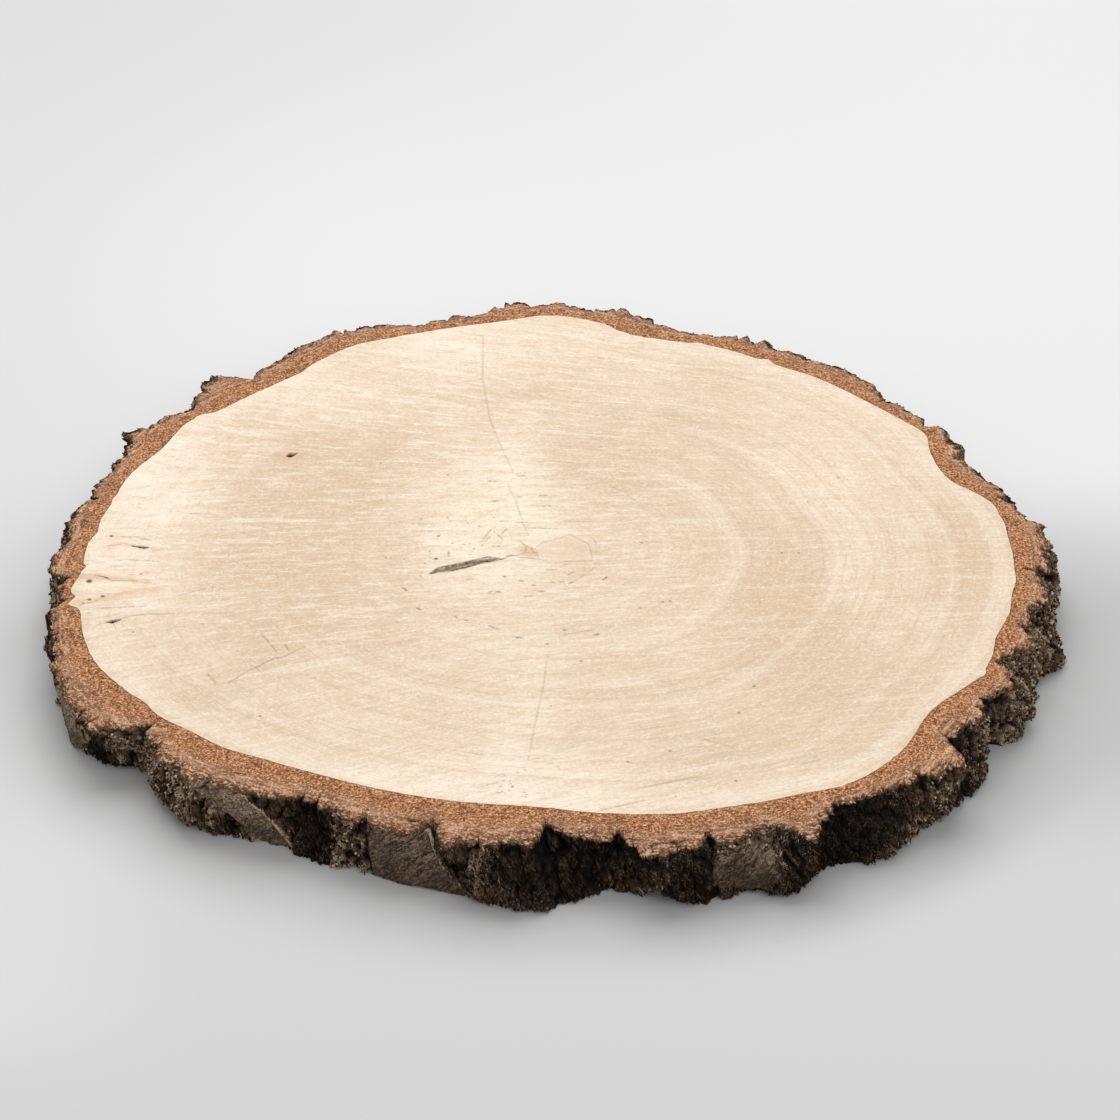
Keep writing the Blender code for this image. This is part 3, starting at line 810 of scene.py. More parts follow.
# Broad tones: middle, half sizes, turn in degrees, darkness, warmth
TONES = (
    ((-32, 34), (30, 36), 0, -0.8, -0.5), ((-45, -15), (26, 26), 0, -0.25, -0.1),
    ((-178, 60), (22, 80), 0, -0.6, 0.2), ((-122, 150), (20, 44), 45, -0.5, 0.2),
    ((-55, 180), (24, 22), 0, -0.45, 0), ((-165, -55), (36, 22), 0, 0.08, 0.5),
    ((-30, -160), (75, 14), 0, -0.45, 0.2), ((-15, -112), (10, 46), 0, -0.3, 0.1),
    ((110, 70), (16, 30), 10, -0.35, 0.7), ((124, 0), (8, 44), 0, -0.15, 0.2),
    ((0, 188), (46, 14), 0, -0.2, 0.7), ((-16, 84), (8, 42), 4, -0.25, 0),
    ((-96, 40), (42, 72), 0, 0.4, 0.6), ((-84, 64), (20, 32), 0, 0.12, 0.5),
    ((-70, -30), (26, 30), 0, 0.22, 0.3), ((20, 76), (20, 30), 20, 0.36, 0.5),
    ((-15, 138), (16, 8), 0, 0.38, -0.4), ((42, 118), (34, 6), -16, 0.3, -0.6),
    ((92, -36), (22, 40), 0, 0.38, 1), ((172, -4), (14, 46), 0, 0.42, 0.6),
    ((122, -95), (34, 32), 0, 0.42, 0.1), ((64, -142), (28, 18), 15, 0.36, -0.5),
    ((-120, -66), (14, 22), -20, 0.32, -0.4), ((-146, -100), (16, 12), 0, 0.26, 0.2),
    ((66, 150), (20, 14), -30, 0.22, -0.5), ((60, 40), (44, 62), 0, 0.22, -0.1),
    ((-138, 0), (20, 42), 0, 0.24, 0.3), ((24, -90), (44, 32), 0, 0.12, -0.5),
    ((12, 2), (16, 12), 0, 0.2, 0.4),
)

# Thin dark lines, grouped by darkness and half width
LINES = (
    (0.27, 0.32, (
        ((-36, 193), (-35.5, 152), (-31.5, 116), (-27.5, 98), (-20.5, 71)),
        ((-23, 61), (-19.5, 49), (-16, 30), (-13.5, 19)),
        ((-10.2, 9.4), (-7.7, 13.4), (-4.3, 14.9), (-0.6, 17.2), (4.3, 20), (7.9, 16.6), (12.1, 12.7)),
        ((12.1, 12.7), (12.9, 8.9), (13.8, -0.5), (3, -1.2), (-4.1, -2.6), (-8.9, 0.6), (-10.2, 5.5)),
        ((14.5, 15.5), (15.7, 13)), ((15.5, -2.1), (13.1, -8.6), (6.6, -15.6), (3.6, -18)),
        ((0.8, -5.4), (3, -2.3)), ((-5, -71), (-7, -96), (-9.5, -116), (-12.5, -144)),
        ((-64.5, 22.5), (-40.5, 23.3)), ((-64.5, 28.5), (-54, 28.7)), ((1.5, 30.9), (13, 30.4)),
        ((29, -124.5), (46, -120.5)), ((92.9, -147.6), (102.9, -143.6)), ((-31, -162), (-22, -158)),
        ((54.5, -129), (68.5, -136)), ((-164.5, 37), (-152, 37)), ((-190, -15.5), (-178, -16.2)),
        ((-208, -13), (-203, -10.6), (-196.5, -11.1)), ((-201, -35), (-195.5, -32), (-190, -28.2)),
        ((-193.5, 11), (-186.5, 13), (-181.5, 11.8)), ((-191, -48.5), (-187.5, -47)),
        ((-160, -27.5), (-155, -25), (-150, -22.5), (-145, -20)), ((21.5, 60.5), (28, 54.5)),
        ((30.5, 50.5), (33, 47)),
    )),
    (0.38, 0.42, (
        ((29, -163.5), (54, -155)), ((16, -177), (33, -170.5)),
        ((-134.5, -91.5), (-126, -82), (-117, -74), (-113.5, -73), (-104.5, -65)),
        ((-123, -56), (-116, -69)), ((-113, -63.5), (-111, -68.5)), ((-143, -85), (-138, -93)),
        ((-33.6, 14.4), (-29.5, 24.5), (-27.7, 26.1)), ((-31.8, 14.9), (-29.7, 19.5)),
        ((-28.3, 22.3), (-24.6, 16.6)), ((-25.8, 18.9), (-22.9, 25.1)), ((-11.7, 43.1), (-1.3, 43.1)),
        ((1.2, -56.8), (13.2, -53.1)), ((-13.8, 25.2), (-4.2, 25)), ((-19, 29.6), (-13.4, 30)),
        ((-26, 30.9), (-22.4, 30.8)), ((-5.9, -7.6), (-1.3, -7.2)), ((-39.6, -15.1), (-36.7, -15.1)),
        ((-15.2, -27.8), (-11.1, -27.8)), ((-189.5, -0.4), (-183.5, 0.3), (-177, -0.4), (-170.5, -1.1)),
        ((-192.5, -37), (-179.5, -35.8), (-173, -35.4)),
        ((-183, -45.4), (-178, -42.4), (-171.5, -41.4), (-160, -41)),
        ((-194.5, 18.7), (-192, 19.1), (-185, 18.1), (-182, 18.4), (-177.5, 16.3), (-174.5, 14.9)),
        ((-16.8, 14.4), (-14.3, 10.5), (-10.7, 8.9)), ((-17.9, 3.9), (-13.7, 6.1), (-9.5, 6.1)),
        ((-17.3, 2.3), (-10.1, 0.8)), ((-14.1, 11), (-15.3, 4.7)), ((-12.4, 9.4), (-11.1, 5.5)),
    )),
    (0.65, 0.45, (
        ((-31.6, 63.7), (-28.1, 63.8)), ((-18.9, 67.9), (-15.4, 68.3)), ((-30, 47.2), (-26.6, 47.4)),
        ((-19.6, 50.3), (-16.1, 50.5)), ((-9.2, 51.6), (-5.7, 51.9)), ((-66.4, -20.8), (-64.2, -23.9)),
        ((-59.6, -36.7), (-57.9, -38.2)), ((-44.4, -42.7), (-42.8, -43.8)),
        ((-39.8, -45.7), (-38.2, -45.9)), ((-29.4, -50.1), (-25.6, -52.4)), ((-19.4, -58.2), (-15.2, -59)),
        ((1.2, -53.1), (2.9, -53.1)), ((14, -56.8), (16.1, -56)), ((32.9, -36.7), (33.9, -36.7)),
        ((34.7, 13.4), (35.6, 13.4)), ((-17.3, -15.9), (-15.6, -16.5)), ((-11.8, -19.5), (-10.4, -19.5)),
        ((-3.8, -17.2), (-2.4, -17.2)), ((-0.4, -16.9), (1.7, -16.7)), ((3.6, -18.2), (5.5, -17)),
        ((3.4, -11.6), (5.5, -9.3)), ((-29.8, -25.4), (-28.5, -23.9)), ((-26.6, -24.4), (-25, -24.6)),
        ((-9.2, -24.3), (-6.3, -24.3)), ((-24.1, -12.4), (-23, -13.2)), ((-47.5, 6.7), (-47.4, 2.7)),
        ((-52.4, 18.3), (-51.6, 20.3)), ((-24.2, 0.9), (-22.1, 3.1), (-18.5, 3.6)),
        ((-202, -3.6), (-200, -3.3)),
    )),
    (0.9, 0.3, (
        ((17.7, -15.5), (19.8, -13.2)), ((-196.5, -11.7), (-192.5, -12.9), (-190, -14.7)),
        (
            (-55.3, -10.9), (-51.7, -5.9), (-45.8, -3.7), (-39.9, -1.6), (-34, 1.2), (-30.4, 2.5),
            (-24.2, 0.9),
        ),
        ((-46, -6.2), (-38.2, -3.1), (-34, -1.6)), ((-36.9, -1), (-31.4, 0.4), (-26.8, 0.8)),
    )),
    (0.75, 0.25, (
        (
            (-55.3, -10.9), (-51.6, -9.9), (-45.7, -8.5), (-39.8, -5.9), (-33.9, -3.1), (-26.8, -0.5),
            (-24.2, 0.9),
        ),
    )),
)

# Small dark dots, grouped by radius
DOTS = (
    (0.45, (
        (107.9, 46.3), (100.3, 45.5), (121.3, 37.4), (122.2, 66.2), (47.8, 7.8), (-3.6, -107.5),
        (-135.8, 21.3), (-74, 1.6), (-72.1, 1.6), (-66.3, 0.8), (-49.3, 68.7), (-79.2, 78.8), (-55.6, 6.7),
        (-57.4, -2.6), (-42.2, 9.4), (-45.9, 13.4), (-41.1, 12.4), (-38.7, 12.7), (-36.8, 8.9),
        (-38.2, 4.5), (-28.7, 10.9), (-26.3, 10.9), (-33.2, 11.6), (-48.5, 33.7), (-47.2, 30.7),
        (-60, 32.6), (-39.6, 29), (-34.7, 26.9), (-28.5, 33.7), (-58.9, -12.4), (-176.2, -54.6),
        (-166.6, -64.8), (-132.7, -4.7), (-19.8, -164), (-13.4, -168.5), (-21.9, -157.9), (-24.2, -165.6),
    )),
    (0.35, (
        (-21.5, -154.6), (-19.5, -157.9), (-23.1, -161.6), (-23.2, -165.8), (-22.5, -165), (-21.3, -166.1),
        (-13.7, -165.6), (-13.8, -150.5), (-16.7, -152.4), (44.8, -168), (-12.9, -166.9), (-19.1, -159.8),
    )),
    (0.65, (
        (43.4, -138.2), (26.7, -145.6), (-18.5, -161.8), (-5.3, -63.4), (8.6, -75.7), (43, -32.2),
        (46, -31.5), (94.6, 5.5), (101.8, 5.5), (78.4, -93.5), (71.6, -112.3), (68.6, -158.1),
        (-177, -10.9), (-119.8, -114.4), (-199.2, -33.1),
    )),
    (1, ((-52.7, 0.9), (-192.5, 18.9), (-196.8, -30.3), (-191.4, -27.8))), (1.7, ((-198.3, -16.4),)),
)

# Hollows: depth, half widths, how dark the hollow is painted inside (painted shade, near black in the small
# holes), and its middle line
HOLLOWS = (
    (1.2, (0.3, 1.7, 2.3, 2.2, 1.9, 1.2, 0.2), 0, (
        (-55.3, -10.9), (-51.6, -8), (-45.8, -6.1), (-39.9, -3.8), (-33.9, -1), (-28.5, 0.6), (-24.2, 0.9),
    )),
    (2, (0.3, 1.1, 0.7, 0.2), 1, ((-183, 11.3), (-179.2, 10.2), (-177, 10), (-174.5, 9.9))),
    (2, (0.3, 1.2, 1, 0.2), 1, ((-188, -47.3), (-186, -46.8), (-184, -46), (-182, -45.2))),
    (1.8, (0.5, 1.9, 1.4, 0.4), 0.9, ((-121.8, 84.6), (-120.2, 85.2), (-118.6, 86.2), (-116.9, 87.2))),
)

# Stains: half width, amount, colour share from orange brown to greenish yellow, and the middle line
STAINS = (
    (1.7, 0.65, 0, ((-208, -12.5), (-201.5, -13), (-196, -12.8), (-188, -14.6), (-174, -16.5))),
    (2.4, 0.55, 1, ((-206, -20.5), (-196, -19.8), (-184, -18.6), (-178, -18))),
    (1.9, 0.65, 0.15, ((-205, -33.5), (-198, -31), (-190, -28.5), (-178, -24.2), (-170, -23))),
    (1.6, 0.35, 0, ((-193, 11), (-186, 12), (-172, 8.5))), (4.5, 0.35, 0, ((-122, 84.5), (-117, 87))),
    (3.2, 0.55, 0, ((-15.5, 8.5), (-12.5, 5))),
)

# Outline of the small brown patch at the pith
PITH_PATCH = (
    (-10.2, 9.4), (-7.7, 13.4), (-4.3, 14.9), (-0.6, 17.2), (4.3, 20), (7.9, 16.6), (12.1, 12.7),
    (13.2, 5.6), (13.8, -0.5), (3, -1.2), (-4.1, -2.6), (-8.9, 0.6), (-10.2, 5.5),
)

# Spacing of the wood's points, wide and close to marks, and reaches round the marks
WOOD_STEP = 2.0
FINE_STEP = 0.42
FINE_REACH = 0.7
FINE_MARGIN = 3.0
MARK_REACH = 2.5
LOOK_REACH = 3.5

# The growth rings and the saw's lines: the lines' slope at places from front to back
PLAIN_TONE = 0.62
RING_ROUND = 178.0
RING_BLUR = 34.0
TURN_RADIUS = 60.0
SAW_SLOPES = ((-190.0, -120.0, -40.0, 60.0, 150.0), (0.42, 0.3, 0.1, 0.0, -0.22))


def tapered(points, line, half_width):
    """1 in a line that narrows to its ends, 0 off it."""
    gap, along = from_line(points, line)
    width = half_width * (0.35 + 0.65 * ease(0.0, 0.25, along) * ease(1.0, 0.75, along))
    return ease(width + 0.4, width * 0.35, gap)


def hollow_edge(points, line, widths):
    """Distance inside a hollow's edge, its half width given at each point of its line."""
    gap, along = from_line(points, line)
    steps = np.hypot(*np.diff(np.asarray(line), axis=0).T)
    marks = np.concatenate([[0.0], np.cumsum(steps)]) / steps.sum()
    return np.interp(along, marks, widths) - gap


MARKS = [(half_width, line) for _, half_width, lines in LINES for line in lines]
MARKS += [(radius, [place]) for radius, places in DOTS for place in places]


def gap_to(points, form):
    """Distance to a line, or to a dot where the form is one point."""
    if len(form) == 1:
        return np.hypot(*(points - form[0]).T)
    return from_line(points, form)[0]


def near_marks(points):
    """Distance from each point to the nearest edge of a mark, rough where it is far."""
    best = np.full(len(points), FAR)
    for reach, form in MARKS:
        near = np.flatnonzero(near_box(points, form, reach + MARK_REACH))
        best[near] = np.minimum(best[near], gap_to(points[near], form) - reach)
    for _, widths, _, line in HOLLOWS:
        near = np.flatnonzero(near_box(points, line, max(widths) + MARK_REACH))
        best[near] = np.minimum(best[near], -hollow_edge(points[near], line, widths))
    return best


def wood_grid(step, slant):
    """A grid of points over the whole wood, slant 1 for a triangular one."""
    span = np.arange(-230.0, 231.0, step)
    across, up = np.meshgrid(span, span * math.sqrt(3.0) / 2.0)
    across = across + np.where(np.arange(len(span)) % 2 == 0, 0.0, slant * step / 2.0)[:, None]
    return np.stack([across.ravel(), up.ravel()], axis=1)


def fine_points():
    """Close points round the marks."""
    cells = []
    for form in [form for _, form in MARKS] + [line for _, _, _, line in HOLLOWS]:
        low = np.floor((np.min(form, axis=0) - FINE_MARGIN) / FINE_STEP).astype(int)
        high = np.ceil((np.max(form, axis=0) + FINE_MARGIN) / FINE_STEP).astype(int)
        i, j = np.meshgrid(np.arange(low[0], high[0]), np.arange(low[1], high[1]))
        block = np.stack([i.ravel(), j.ravel()], axis=1)
        cells.append(block[gap_to(block * FINE_STEP, form) < FINE_MARGIN])
    points = np.unique(np.concatenate(cells), axis=0) * FINE_STEP
    return points[near_marks(points) < FINE_REACH]


def ring_share(points, outline):
    """Growth-ring number from 0 at the pith to 1 at the bark: round inside, like the outline outside."""
    angle, reach = bearing_of(points, PITH)
    edge_angle, edge_reach = bearing_of(outline, PITH)
    order = np.argsort(edge_angle)
    edge = np.interp(BEARINGS, edge_angle[order], edge_reach[order], period=2.0 * math.pi)
    limit = np.interp(angle, BEARINGS, blur_round(edge, RING_BLUR), period=2.0 * math.pi)
    like = ease(0.1, 0.95, reach / RING_ROUND)
    return reach / (RING_ROUND * (1.0 - like) + limit * like)


def broad_tone(points):
    """Darkness and warmth of the wood's broad areas."""
    tone = np.full(len(points), PLAIN_TONE)
    warmth = np.zeros(len(points))
    moved = points + 6.0 * drift(flat_points(points), 22.0, 110, 120)
    for middle, (half_x, half_y), turn, darkness, warm in TONES:
        x, y = (moved - middle).T
        cos, sin = math.cos(math.radians(turn)), math.sin(math.radians(turn))
        dx = (x * cos + y * sin) / half_x
        dy = (y * cos - x * sin) / half_y
        weight = np.exp(-0.5 * (dx ** 2 + dy ** 2) ** 1.3)
        tone += darkness * weight
        warmth += warm * weight * abs(darkness)
    return tone, warmth


def saw_lines(points):
    """Coordinates that run along the saw's lines, which tilt at the front and the back."""
    slope = np.interp(points[:, 1], *SAW_SLOPES)
    return flat_points(np.column_stack([points[:, 0], points[:, 1] - slope * points[:, 0]]))


def turning_lines(points):
    """Coordinates that run round the pith, like the growth rings."""
    offset = points - PITH
    reach = np.maximum(np.hypot(offset[:, 0], offset[:, 1]), 1.0)
    return np.column_stack([offset * TURN_RADIUS / reach[:, None], reach])


def wood_marks(points):
    """Depth of the hollows in mm, and the marks and stains that the material reads."""
    flat = flat_points(points)
    dark, depth, black, stain, hue = np.zeros((5, len(points)))
    ragged = 0.75 + 0.45 * value_noise(flat / 1.1, SEED + 90)
    for darkness, half_width, lines in LINES:
        for line in lines:
            near = np.flatnonzero(near_box(points, line, LOOK_REACH))
            mark = darkness * tapered(points[near], line, half_width) * ragged[near]
            dark[near] = np.maximum(dark[near], mark)
    for radius, places in DOTS:
        for place in places:
            near = np.flatnonzero(near_box(points, [place], LOOK_REACH))
            round_spot = ease(radius + 0.3, radius * 0.4, gap_to(points[near], [place]))
            dark[near] = np.maximum(dark[near], min(0.9, 0.35 + 0.45 * radius) * round_spot)
    wobble = 0.35 * value_noise(flat / 1.2, SEED + 92)
    for deep, widths, hole_shade, line in HOLLOWS:
        near = np.flatnonzero(near_box(points, line, LOOK_REACH))
        edge = hollow_edge(points[near], line, widths) + wobble[near]
        depth[near] = np.maximum(depth[near], deep * ease(-0.1, 1.0, edge))
        black[near] = np.maximum(black[near], hole_shade * ease(-0.2, 0.3, edge))
    warp = 1.2 * layered_noise(flat / np.array([6.0, 1.6, 1.0]), SEED + 94)
    for half_width, amount, yellow, line in STAINS:
        gap, _ = from_line(points, line)
        share = amount * ease(half_width * 1.5, half_width * 0.5, gap + warp)
        hue = np.where(share > stain, yellow, hue)
        stain = np.maximum(stain, share)
    patch = ease(-2.0, 2.0, inside_outline(points + 1.5 * warp[:, None], PITH_PATCH))
    sunk = ease(0.0, 0.8, depth)
    return depth, {"dark": dark, "black": black, "stain": stain, "hue": hue, "patch": patch, "sunk": sunk}


def make_wood(material):
    """The closed disc of wood, with its crack and holes let into the upper face."""
    outline = CENTRE + OUTWARD * (WOOD_RADII - JOINT_GAP)[:, None] - VIEW_POINT
    grid = wood_grid(WOOD_STEP, 1.0)
    grid = grid[near_marks(grid) > FINE_REACH + 0.5]
    inner = np.concatenate([grid, fine_points()])
    angle, reach = bearing_of(inner, CENTRE - VIEW_POINT)
    limit = np.interp(angle, BEARINGS, WOOD_RADII, period=2.0 * math.pi)
    flat = np.concatenate([outline, inner[reach < limit - 1.0]])
    rim = [(k, (k + 1) % COLUMNS) for k in range(COLUMNS)]
    made = delaunay_2d_cdt([Vector(p) for p in flat], rim, [], 1, 1e-5)
    flat = np.array([point[:] for point in made[0]])
    depth, marks = wood_marks(flat)
    top = np.column_stack([flat + VIEW_POINT, THICKNESS - depth])
    bottom = flat_points(outline + VIEW_POINT)
    points = np.concatenate([top, bottom, [[CENTRE[0], CENTRE[1], 0.0]]])
    faces = [tuple(face) for face in made[2]]
    for k, after in rim:
        faces.append((k, len(top) + k, len(top) + after, after))
        faces.append((len(top) + after, len(top) + k, len(points) - 1))
    wood = mesh_object("slice_wood", points, faces, material, False)
    every = points[:, :2] - VIEW_POINT
    tone, warmth = broad_tone(every)
    looks = {
        "ring": ring_share(every, outline),
        "tone": tone,
        "warmth": warmth,
        "saw": saw_lines(every),
        "turn": turning_lines(every),
        "ring_show": 0.4 + 0.6 * np.maximum(ease(0.0, 90.0, every[:, 0]), ease(-20.0, -110.0, every[:, 1])),
    }
    for name, values in marks.items():
        looks[name] = np.concatenate([values, np.zeros(len(points) - len(top))])
    for name, values in looks.items():
        add_values(wood, name, values)
    return wood


# Materials

def linear(red, green, blue):
    """A colour from its 0 to 255 screen values."""
    channels = [channel / 255.0 for channel in (red, green, blue)]
    return tuple(c / 12.92 if c <= 0.04045 else ((c + 0.055) / 1.055) ** 2.4 for c in channels) + (1.0,)


class Nodes:
    """A short way to build a material's nodes, with its colour painted on in layers."""

    def __init__(self, name, gloss=0.25):
        self.material = bpy.data.materials.new(name)
        self.material.use_nodes = True
        self.tree = self.material.node_tree
        self.shader = self.tree.nodes["Principled BSDF"]
        self.shader.inputs["Specular IOR Level"].default_value = gloss
        self.color = None

    def add(self, kind, inputs=(), **settings):
        """Add a node, set its fields, and set or link its inputs."""
        node = self.tree.nodes.new(kind)
        for field, value in settings.items():
            setattr(node, field, value)
        for key, value in dict(inputs).items():
            self.put(node.inputs[key], value)
        return node

    def put(self, socket, value):
        """Link a socket, or set its value."""
        if isinstance(value, bpy.types.NodeSocket):
            self.tree.links.new(value, socket)
        else:
            socket.default_value = value

    def value(self, name):
        """A number stored on the mesh."""
        return self.add('ShaderNodeAttribute', attribute_name=name).outputs["Fac"]

    def scaled(self, where, scale):
        """Coordinates, each scaled."""
        return self.add('ShaderNodeMapping', {"Vector": where, "Scale": scale}).outputs["Vector"]

    def vector(self, name, scale):
        """Three numbers stored on the mesh, each scaled."""
        return self.scaled(self.add('ShaderNodeAttribute', attribute_name=name).outputs["Vector"], scale)

    def place(self, scale=(1, 1, 1)):
        """The object's own coordinates in mm, stretched."""
        return self.scaled(self.add('ShaderNodeTexCoord').outputs["Object"], tuple(s / MM for s in scale))

    def noise(self, where, scale=1, detail=2, roughness=0.5, distortion=0):
        """Smooth noise from 0 to 1."""
        inputs = {"Vector": where, "Scale": scale, "Detail": detail, "Roughness": roughness}
        inputs["Distortion"] = distortion
        return self.add('ShaderNodeTexNoise', inputs).outputs["Fac"]

    def bands(self, along, scale, detail, roughness):
        """Noise that changes along one number only."""
        inputs = {"W": along, "Scale": scale, "Detail": detail, "Roughness": roughness}
        return self.add('ShaderNodeTexNoise', inputs, noise_dimensions='1D').outputs["Fac"]

    def math(self, operation, first, second, clamp=False):
        """One sum on numbers."""
        inputs = {0: first, 1: second}
        return self.add('ShaderNodeMath', inputs, operation=operation, use_clamp=clamp).outputs[0]

    def plus(self, first, second, clamp=False):
        """Add two numbers."""
        return self.math('ADD', first, second, clamp)

    def times(self, first, second):
        """Multiply two numbers."""
        return self.math('MULTIPLY', first, second)

    def sway(self, value, noise, amount):
        """A number moved up and down by noise."""
        return self.plus(value, self.times(self.math('SUBTRACT', noise, 0.5), amount))

    def ramp(self, value, low, high, start=0, end=1):
        """Map a range of a number smoothly onto another."""
        inputs = {"Value": value, "From Min": low, "From Max": high, "To Min": start, "To Max": end}
        return self.add('ShaderNodeMapRange', inputs, interpolation_type='SMOOTHSTEP').outputs["Result"]

    def mix(self, share, first, second, blend='MIX'):
        """Blend two colours, each a socket or three screen values."""
        node = self.add('ShaderNodeMix', {"Factor": share}, data_type='RGBA', blend_type=blend)
        for slot, color in ((6, first), (7, second)):
            self.put(node.inputs[slot], linear(*color) if isinstance(color, tuple) else color)
        return node.outputs[2]

    def cover(self, share, color, blend='MIX'):
        """Lay a colour over the rest."""
        self.color = self.mix(share, self.color, color, blend)

    def paint(self, value, low, high, amount, color, by=None):
        """Lay a colour on, none where a number is low and up to an amount where it is high."""
        share = self.ramp(value, low, high, 0, amount)
        self.cover(share if by is None else self.times(share, by), color)

    def bump(self, height, strength, distance):
        """Fine relief under the mesh's own, distance in mm."""
        inputs = {"Height": height, "Strength": strength, "Distance": distance * MM}
        self.put(self.shader.inputs["Normal"], self.add('ShaderNodeBump', inputs).outputs["Normal"])

    def finish(self, roughness):
        """Link the colour and roughness."""
        self.put(self.shader.inputs["Base Color"], self.color)
        self.put(self.shader.inputs["Roughness"], roughness)
        return self.material


def wood_material():
    """Pale birch end grain: broad tones, faint growth rings, saw lines and dark marks."""
    n = Nodes("birch_end_grain")
    tone = n.sway(n.value("tone"), n.noise(n.place(), 0.045, 4, 0.6), 0.55)
    n.color = n.mix(n.ramp(tone, -0.25, 1.25), (247, 231, 209), (216, 191, 161))
    n.cover(n.ramp(n.value("warmth"), 0, 0.6, 0, 0.5), (250, 240, 232), 'MULTIPLY')
    n.cover(n.ramp(n.value("warmth"), 0, -0.4, 0, 0.5), (243, 249, 236), 'MULTIPLY')
    ring = n.sway(n.value("ring"), n.noise(n.place(), 0.03, 3), 0.016)
    show = n.value("ring_show")
    n.paint(n.bands(ring, 60, 3, 0.7), 0.5, 0.7, 0.34, (205, 172, 138), show)
    broad = n.bands(ring, 13, 1, 0.5)
    n.paint(broad, 0.5, 0.66, 0.24, (212, 184, 150), show)
    n.paint(broad, 0.48, 0.32, 0.24, (254, 242, 224), show)
    turn_show = n.ramp(show, 0.4, 1)
    saw_show = n.math('SUBTRACT', 1, n.times(turn_show, 0.4))
    band = n.noise(n.vector("saw", (0.028, 0.26, 1)), 1, 4, 0.65, 0.8)
    n.paint(band, 0.5, 0.68, 0.4, (220, 188, 158), saw_show)
    n.paint(band, 0.5, 0.32, 0.4, (255, 247, 232), saw_show)
    streak = n.noise(n.vector("saw", (0.085, 0.62, 1)), 1, 5, 0.75, 0.5)
    n.paint(streak, 0.52, 0.7, 0.6, (205, 173, 142), saw_show)
    n.paint(streak, 0.48, 0.3, 0.6, (255, 246, 230), saw_show)
    turning = n.noise(n.vector("turn", (0.17, 0.17, 1)), 1, 3, 0.65, 0.3)
    n.paint(turning, 0.54, 0.7, 0.3, (201, 171, 140), turn_show)
    n.paint(turning, 0.42, 0.3, 0.3, (255, 245, 228), turn_show)
    hair = n.noise(n.vector("saw", (0.14, 1.4, 1)), 1, 4, 0.65, 0.3)
    n.paint(hair, 0.58, 0.7, 0.5, (184, 150, 116))
    speck = n.noise(n.place(), 0.8, 3, 0.7)
    n.paint(speck, 0.5, 0.72, 0.4, (204, 176, 146))
    n.paint(speck, 0.5, 0.3, 0.4, (255, 247, 233))
    n.paint(n.noise(n.vector("turn", (0.3, 0.3, 1.3)), 1, 1), 0.72, 0.78, 0.4, (156, 122, 88))
    n.paint(n.noise(n.place((0.35, 0.02, 1)), 1, 3, 0.6), 0.5, 0.75, 0.08, (206, 178, 148))
    stain = n.times(n.value("stain"), n.ramp(hair, 0.36, 0.56, 0.4, 1))
    n.cover(stain, n.mix(n.value("hue"), (212, 162, 120), (248, 236, 200)))
    n.cover(n.times(n.value("patch"), 0.3), (226, 200, 172))
    inside = n.mix(n.ramp(n.noise(n.place(), 0.8), 0.35, 0.65), (186, 162, 136), (138, 114, 88))
    # Hollows' insides: grey brown in the crack, and painted near black in the small holes as painted shade.
    n.cover(n.value("sunk"), n.mix(n.value("black"), inside, (24, 15, 9)))
    n.cover(n.value("dark"), (74, 48, 26))
    n.bump(n.plus(streak, n.times(hair, 0.5)), 0.2, 0.12)
    return n.finish(n.ramp(streak, 0.3, 0.7, 0.66, 0.78))


def cut_bark_material():
    """Cut bark: orange brown and speckled near the wood, paler and layered near the rim."""
    n = Nodes("cut_bark", 0.15)
    across = n.value("across")
    cloud = n.noise(n.place(), 0.11, 3)
    cloudy = n.ramp(cloud, 0.35, 0.65)
    inner = n.mix(cloudy, (188, 130, 88), (170, 113, 76))
    zone = n.ramp(n.sway(across, cloud, 0.5), 0.38, 0.62)
    n.color = n.mix(zone, inner, n.mix(cloudy, (180, 135, 106), (150, 104, 78)))
    layers = n.noise(n.vector("girth", (0.09, 0.09, 0.62)), 1, 3, 0.6, 0.4)
    n.paint(layers, 0.52, 0.64, 0.8, (222, 180, 146), zone)
    n.paint(layers, 0.46, 0.36, 0.85, (112, 74, 52), zone)
    speckle = n.noise(n.place(), 1.1, 3, 0.75)
    n.paint(speckle, 0.52, 0.58, 0.9, (92, 50, 30), n.math('SUBTRACT', 1, n.times(zone, 0.6)))
    crumbs = n.noise(n.vector("girth", (0.34, 0.34, 0.8)), 1, 3, 0.7, 0.6)
    n.paint(crumbs, 0.56, 0.62, 0.65, (104, 62, 40))
    n.paint(crumbs, 0.42, 0.36, 0.35, (226, 176, 134))
    n.paint(speckle, 0.46, 0.38, 0.8, (248, 202, 160))
    torn = n.noise(n.vector("girth", (0.5, 0.5, 0.9)), 1, 4, 0.75, 0.5)
    n.paint(n.plus(torn, n.ramp(across, 0.5, 1, -0.16, 0.1)), 0.52, 0.6, 0.9, (84, 54, 38))
    n.paint(torn, 0.46, 0.36, 1, (230, 194, 160), n.ramp(across, 0.6, 0.95, 0, 0.8))
    n.paint(n.value("from_joint"), 0.6, 0.1, 0.8, (112, 66, 40), n.ramp(cloud, 0.35, 0.6, 0.2, 1))
    grains = n.noise(n.place(), 0.9, 3, 0.7)
    n.cover(n.value("crusty"), n.mix(n.ramp(grains, 0.45, 0.6), (22, 15, 10), (132, 104, 78)))
    n.paint(n.sway(n.value("foot"), torn, 0.6), 0.4, 0.6, 1, (34, 25, 19))
    n.bump(n.plus(speckle, n.times(layers, 0.6)), 0.8, 0.6)
    return n.finish(0.9)


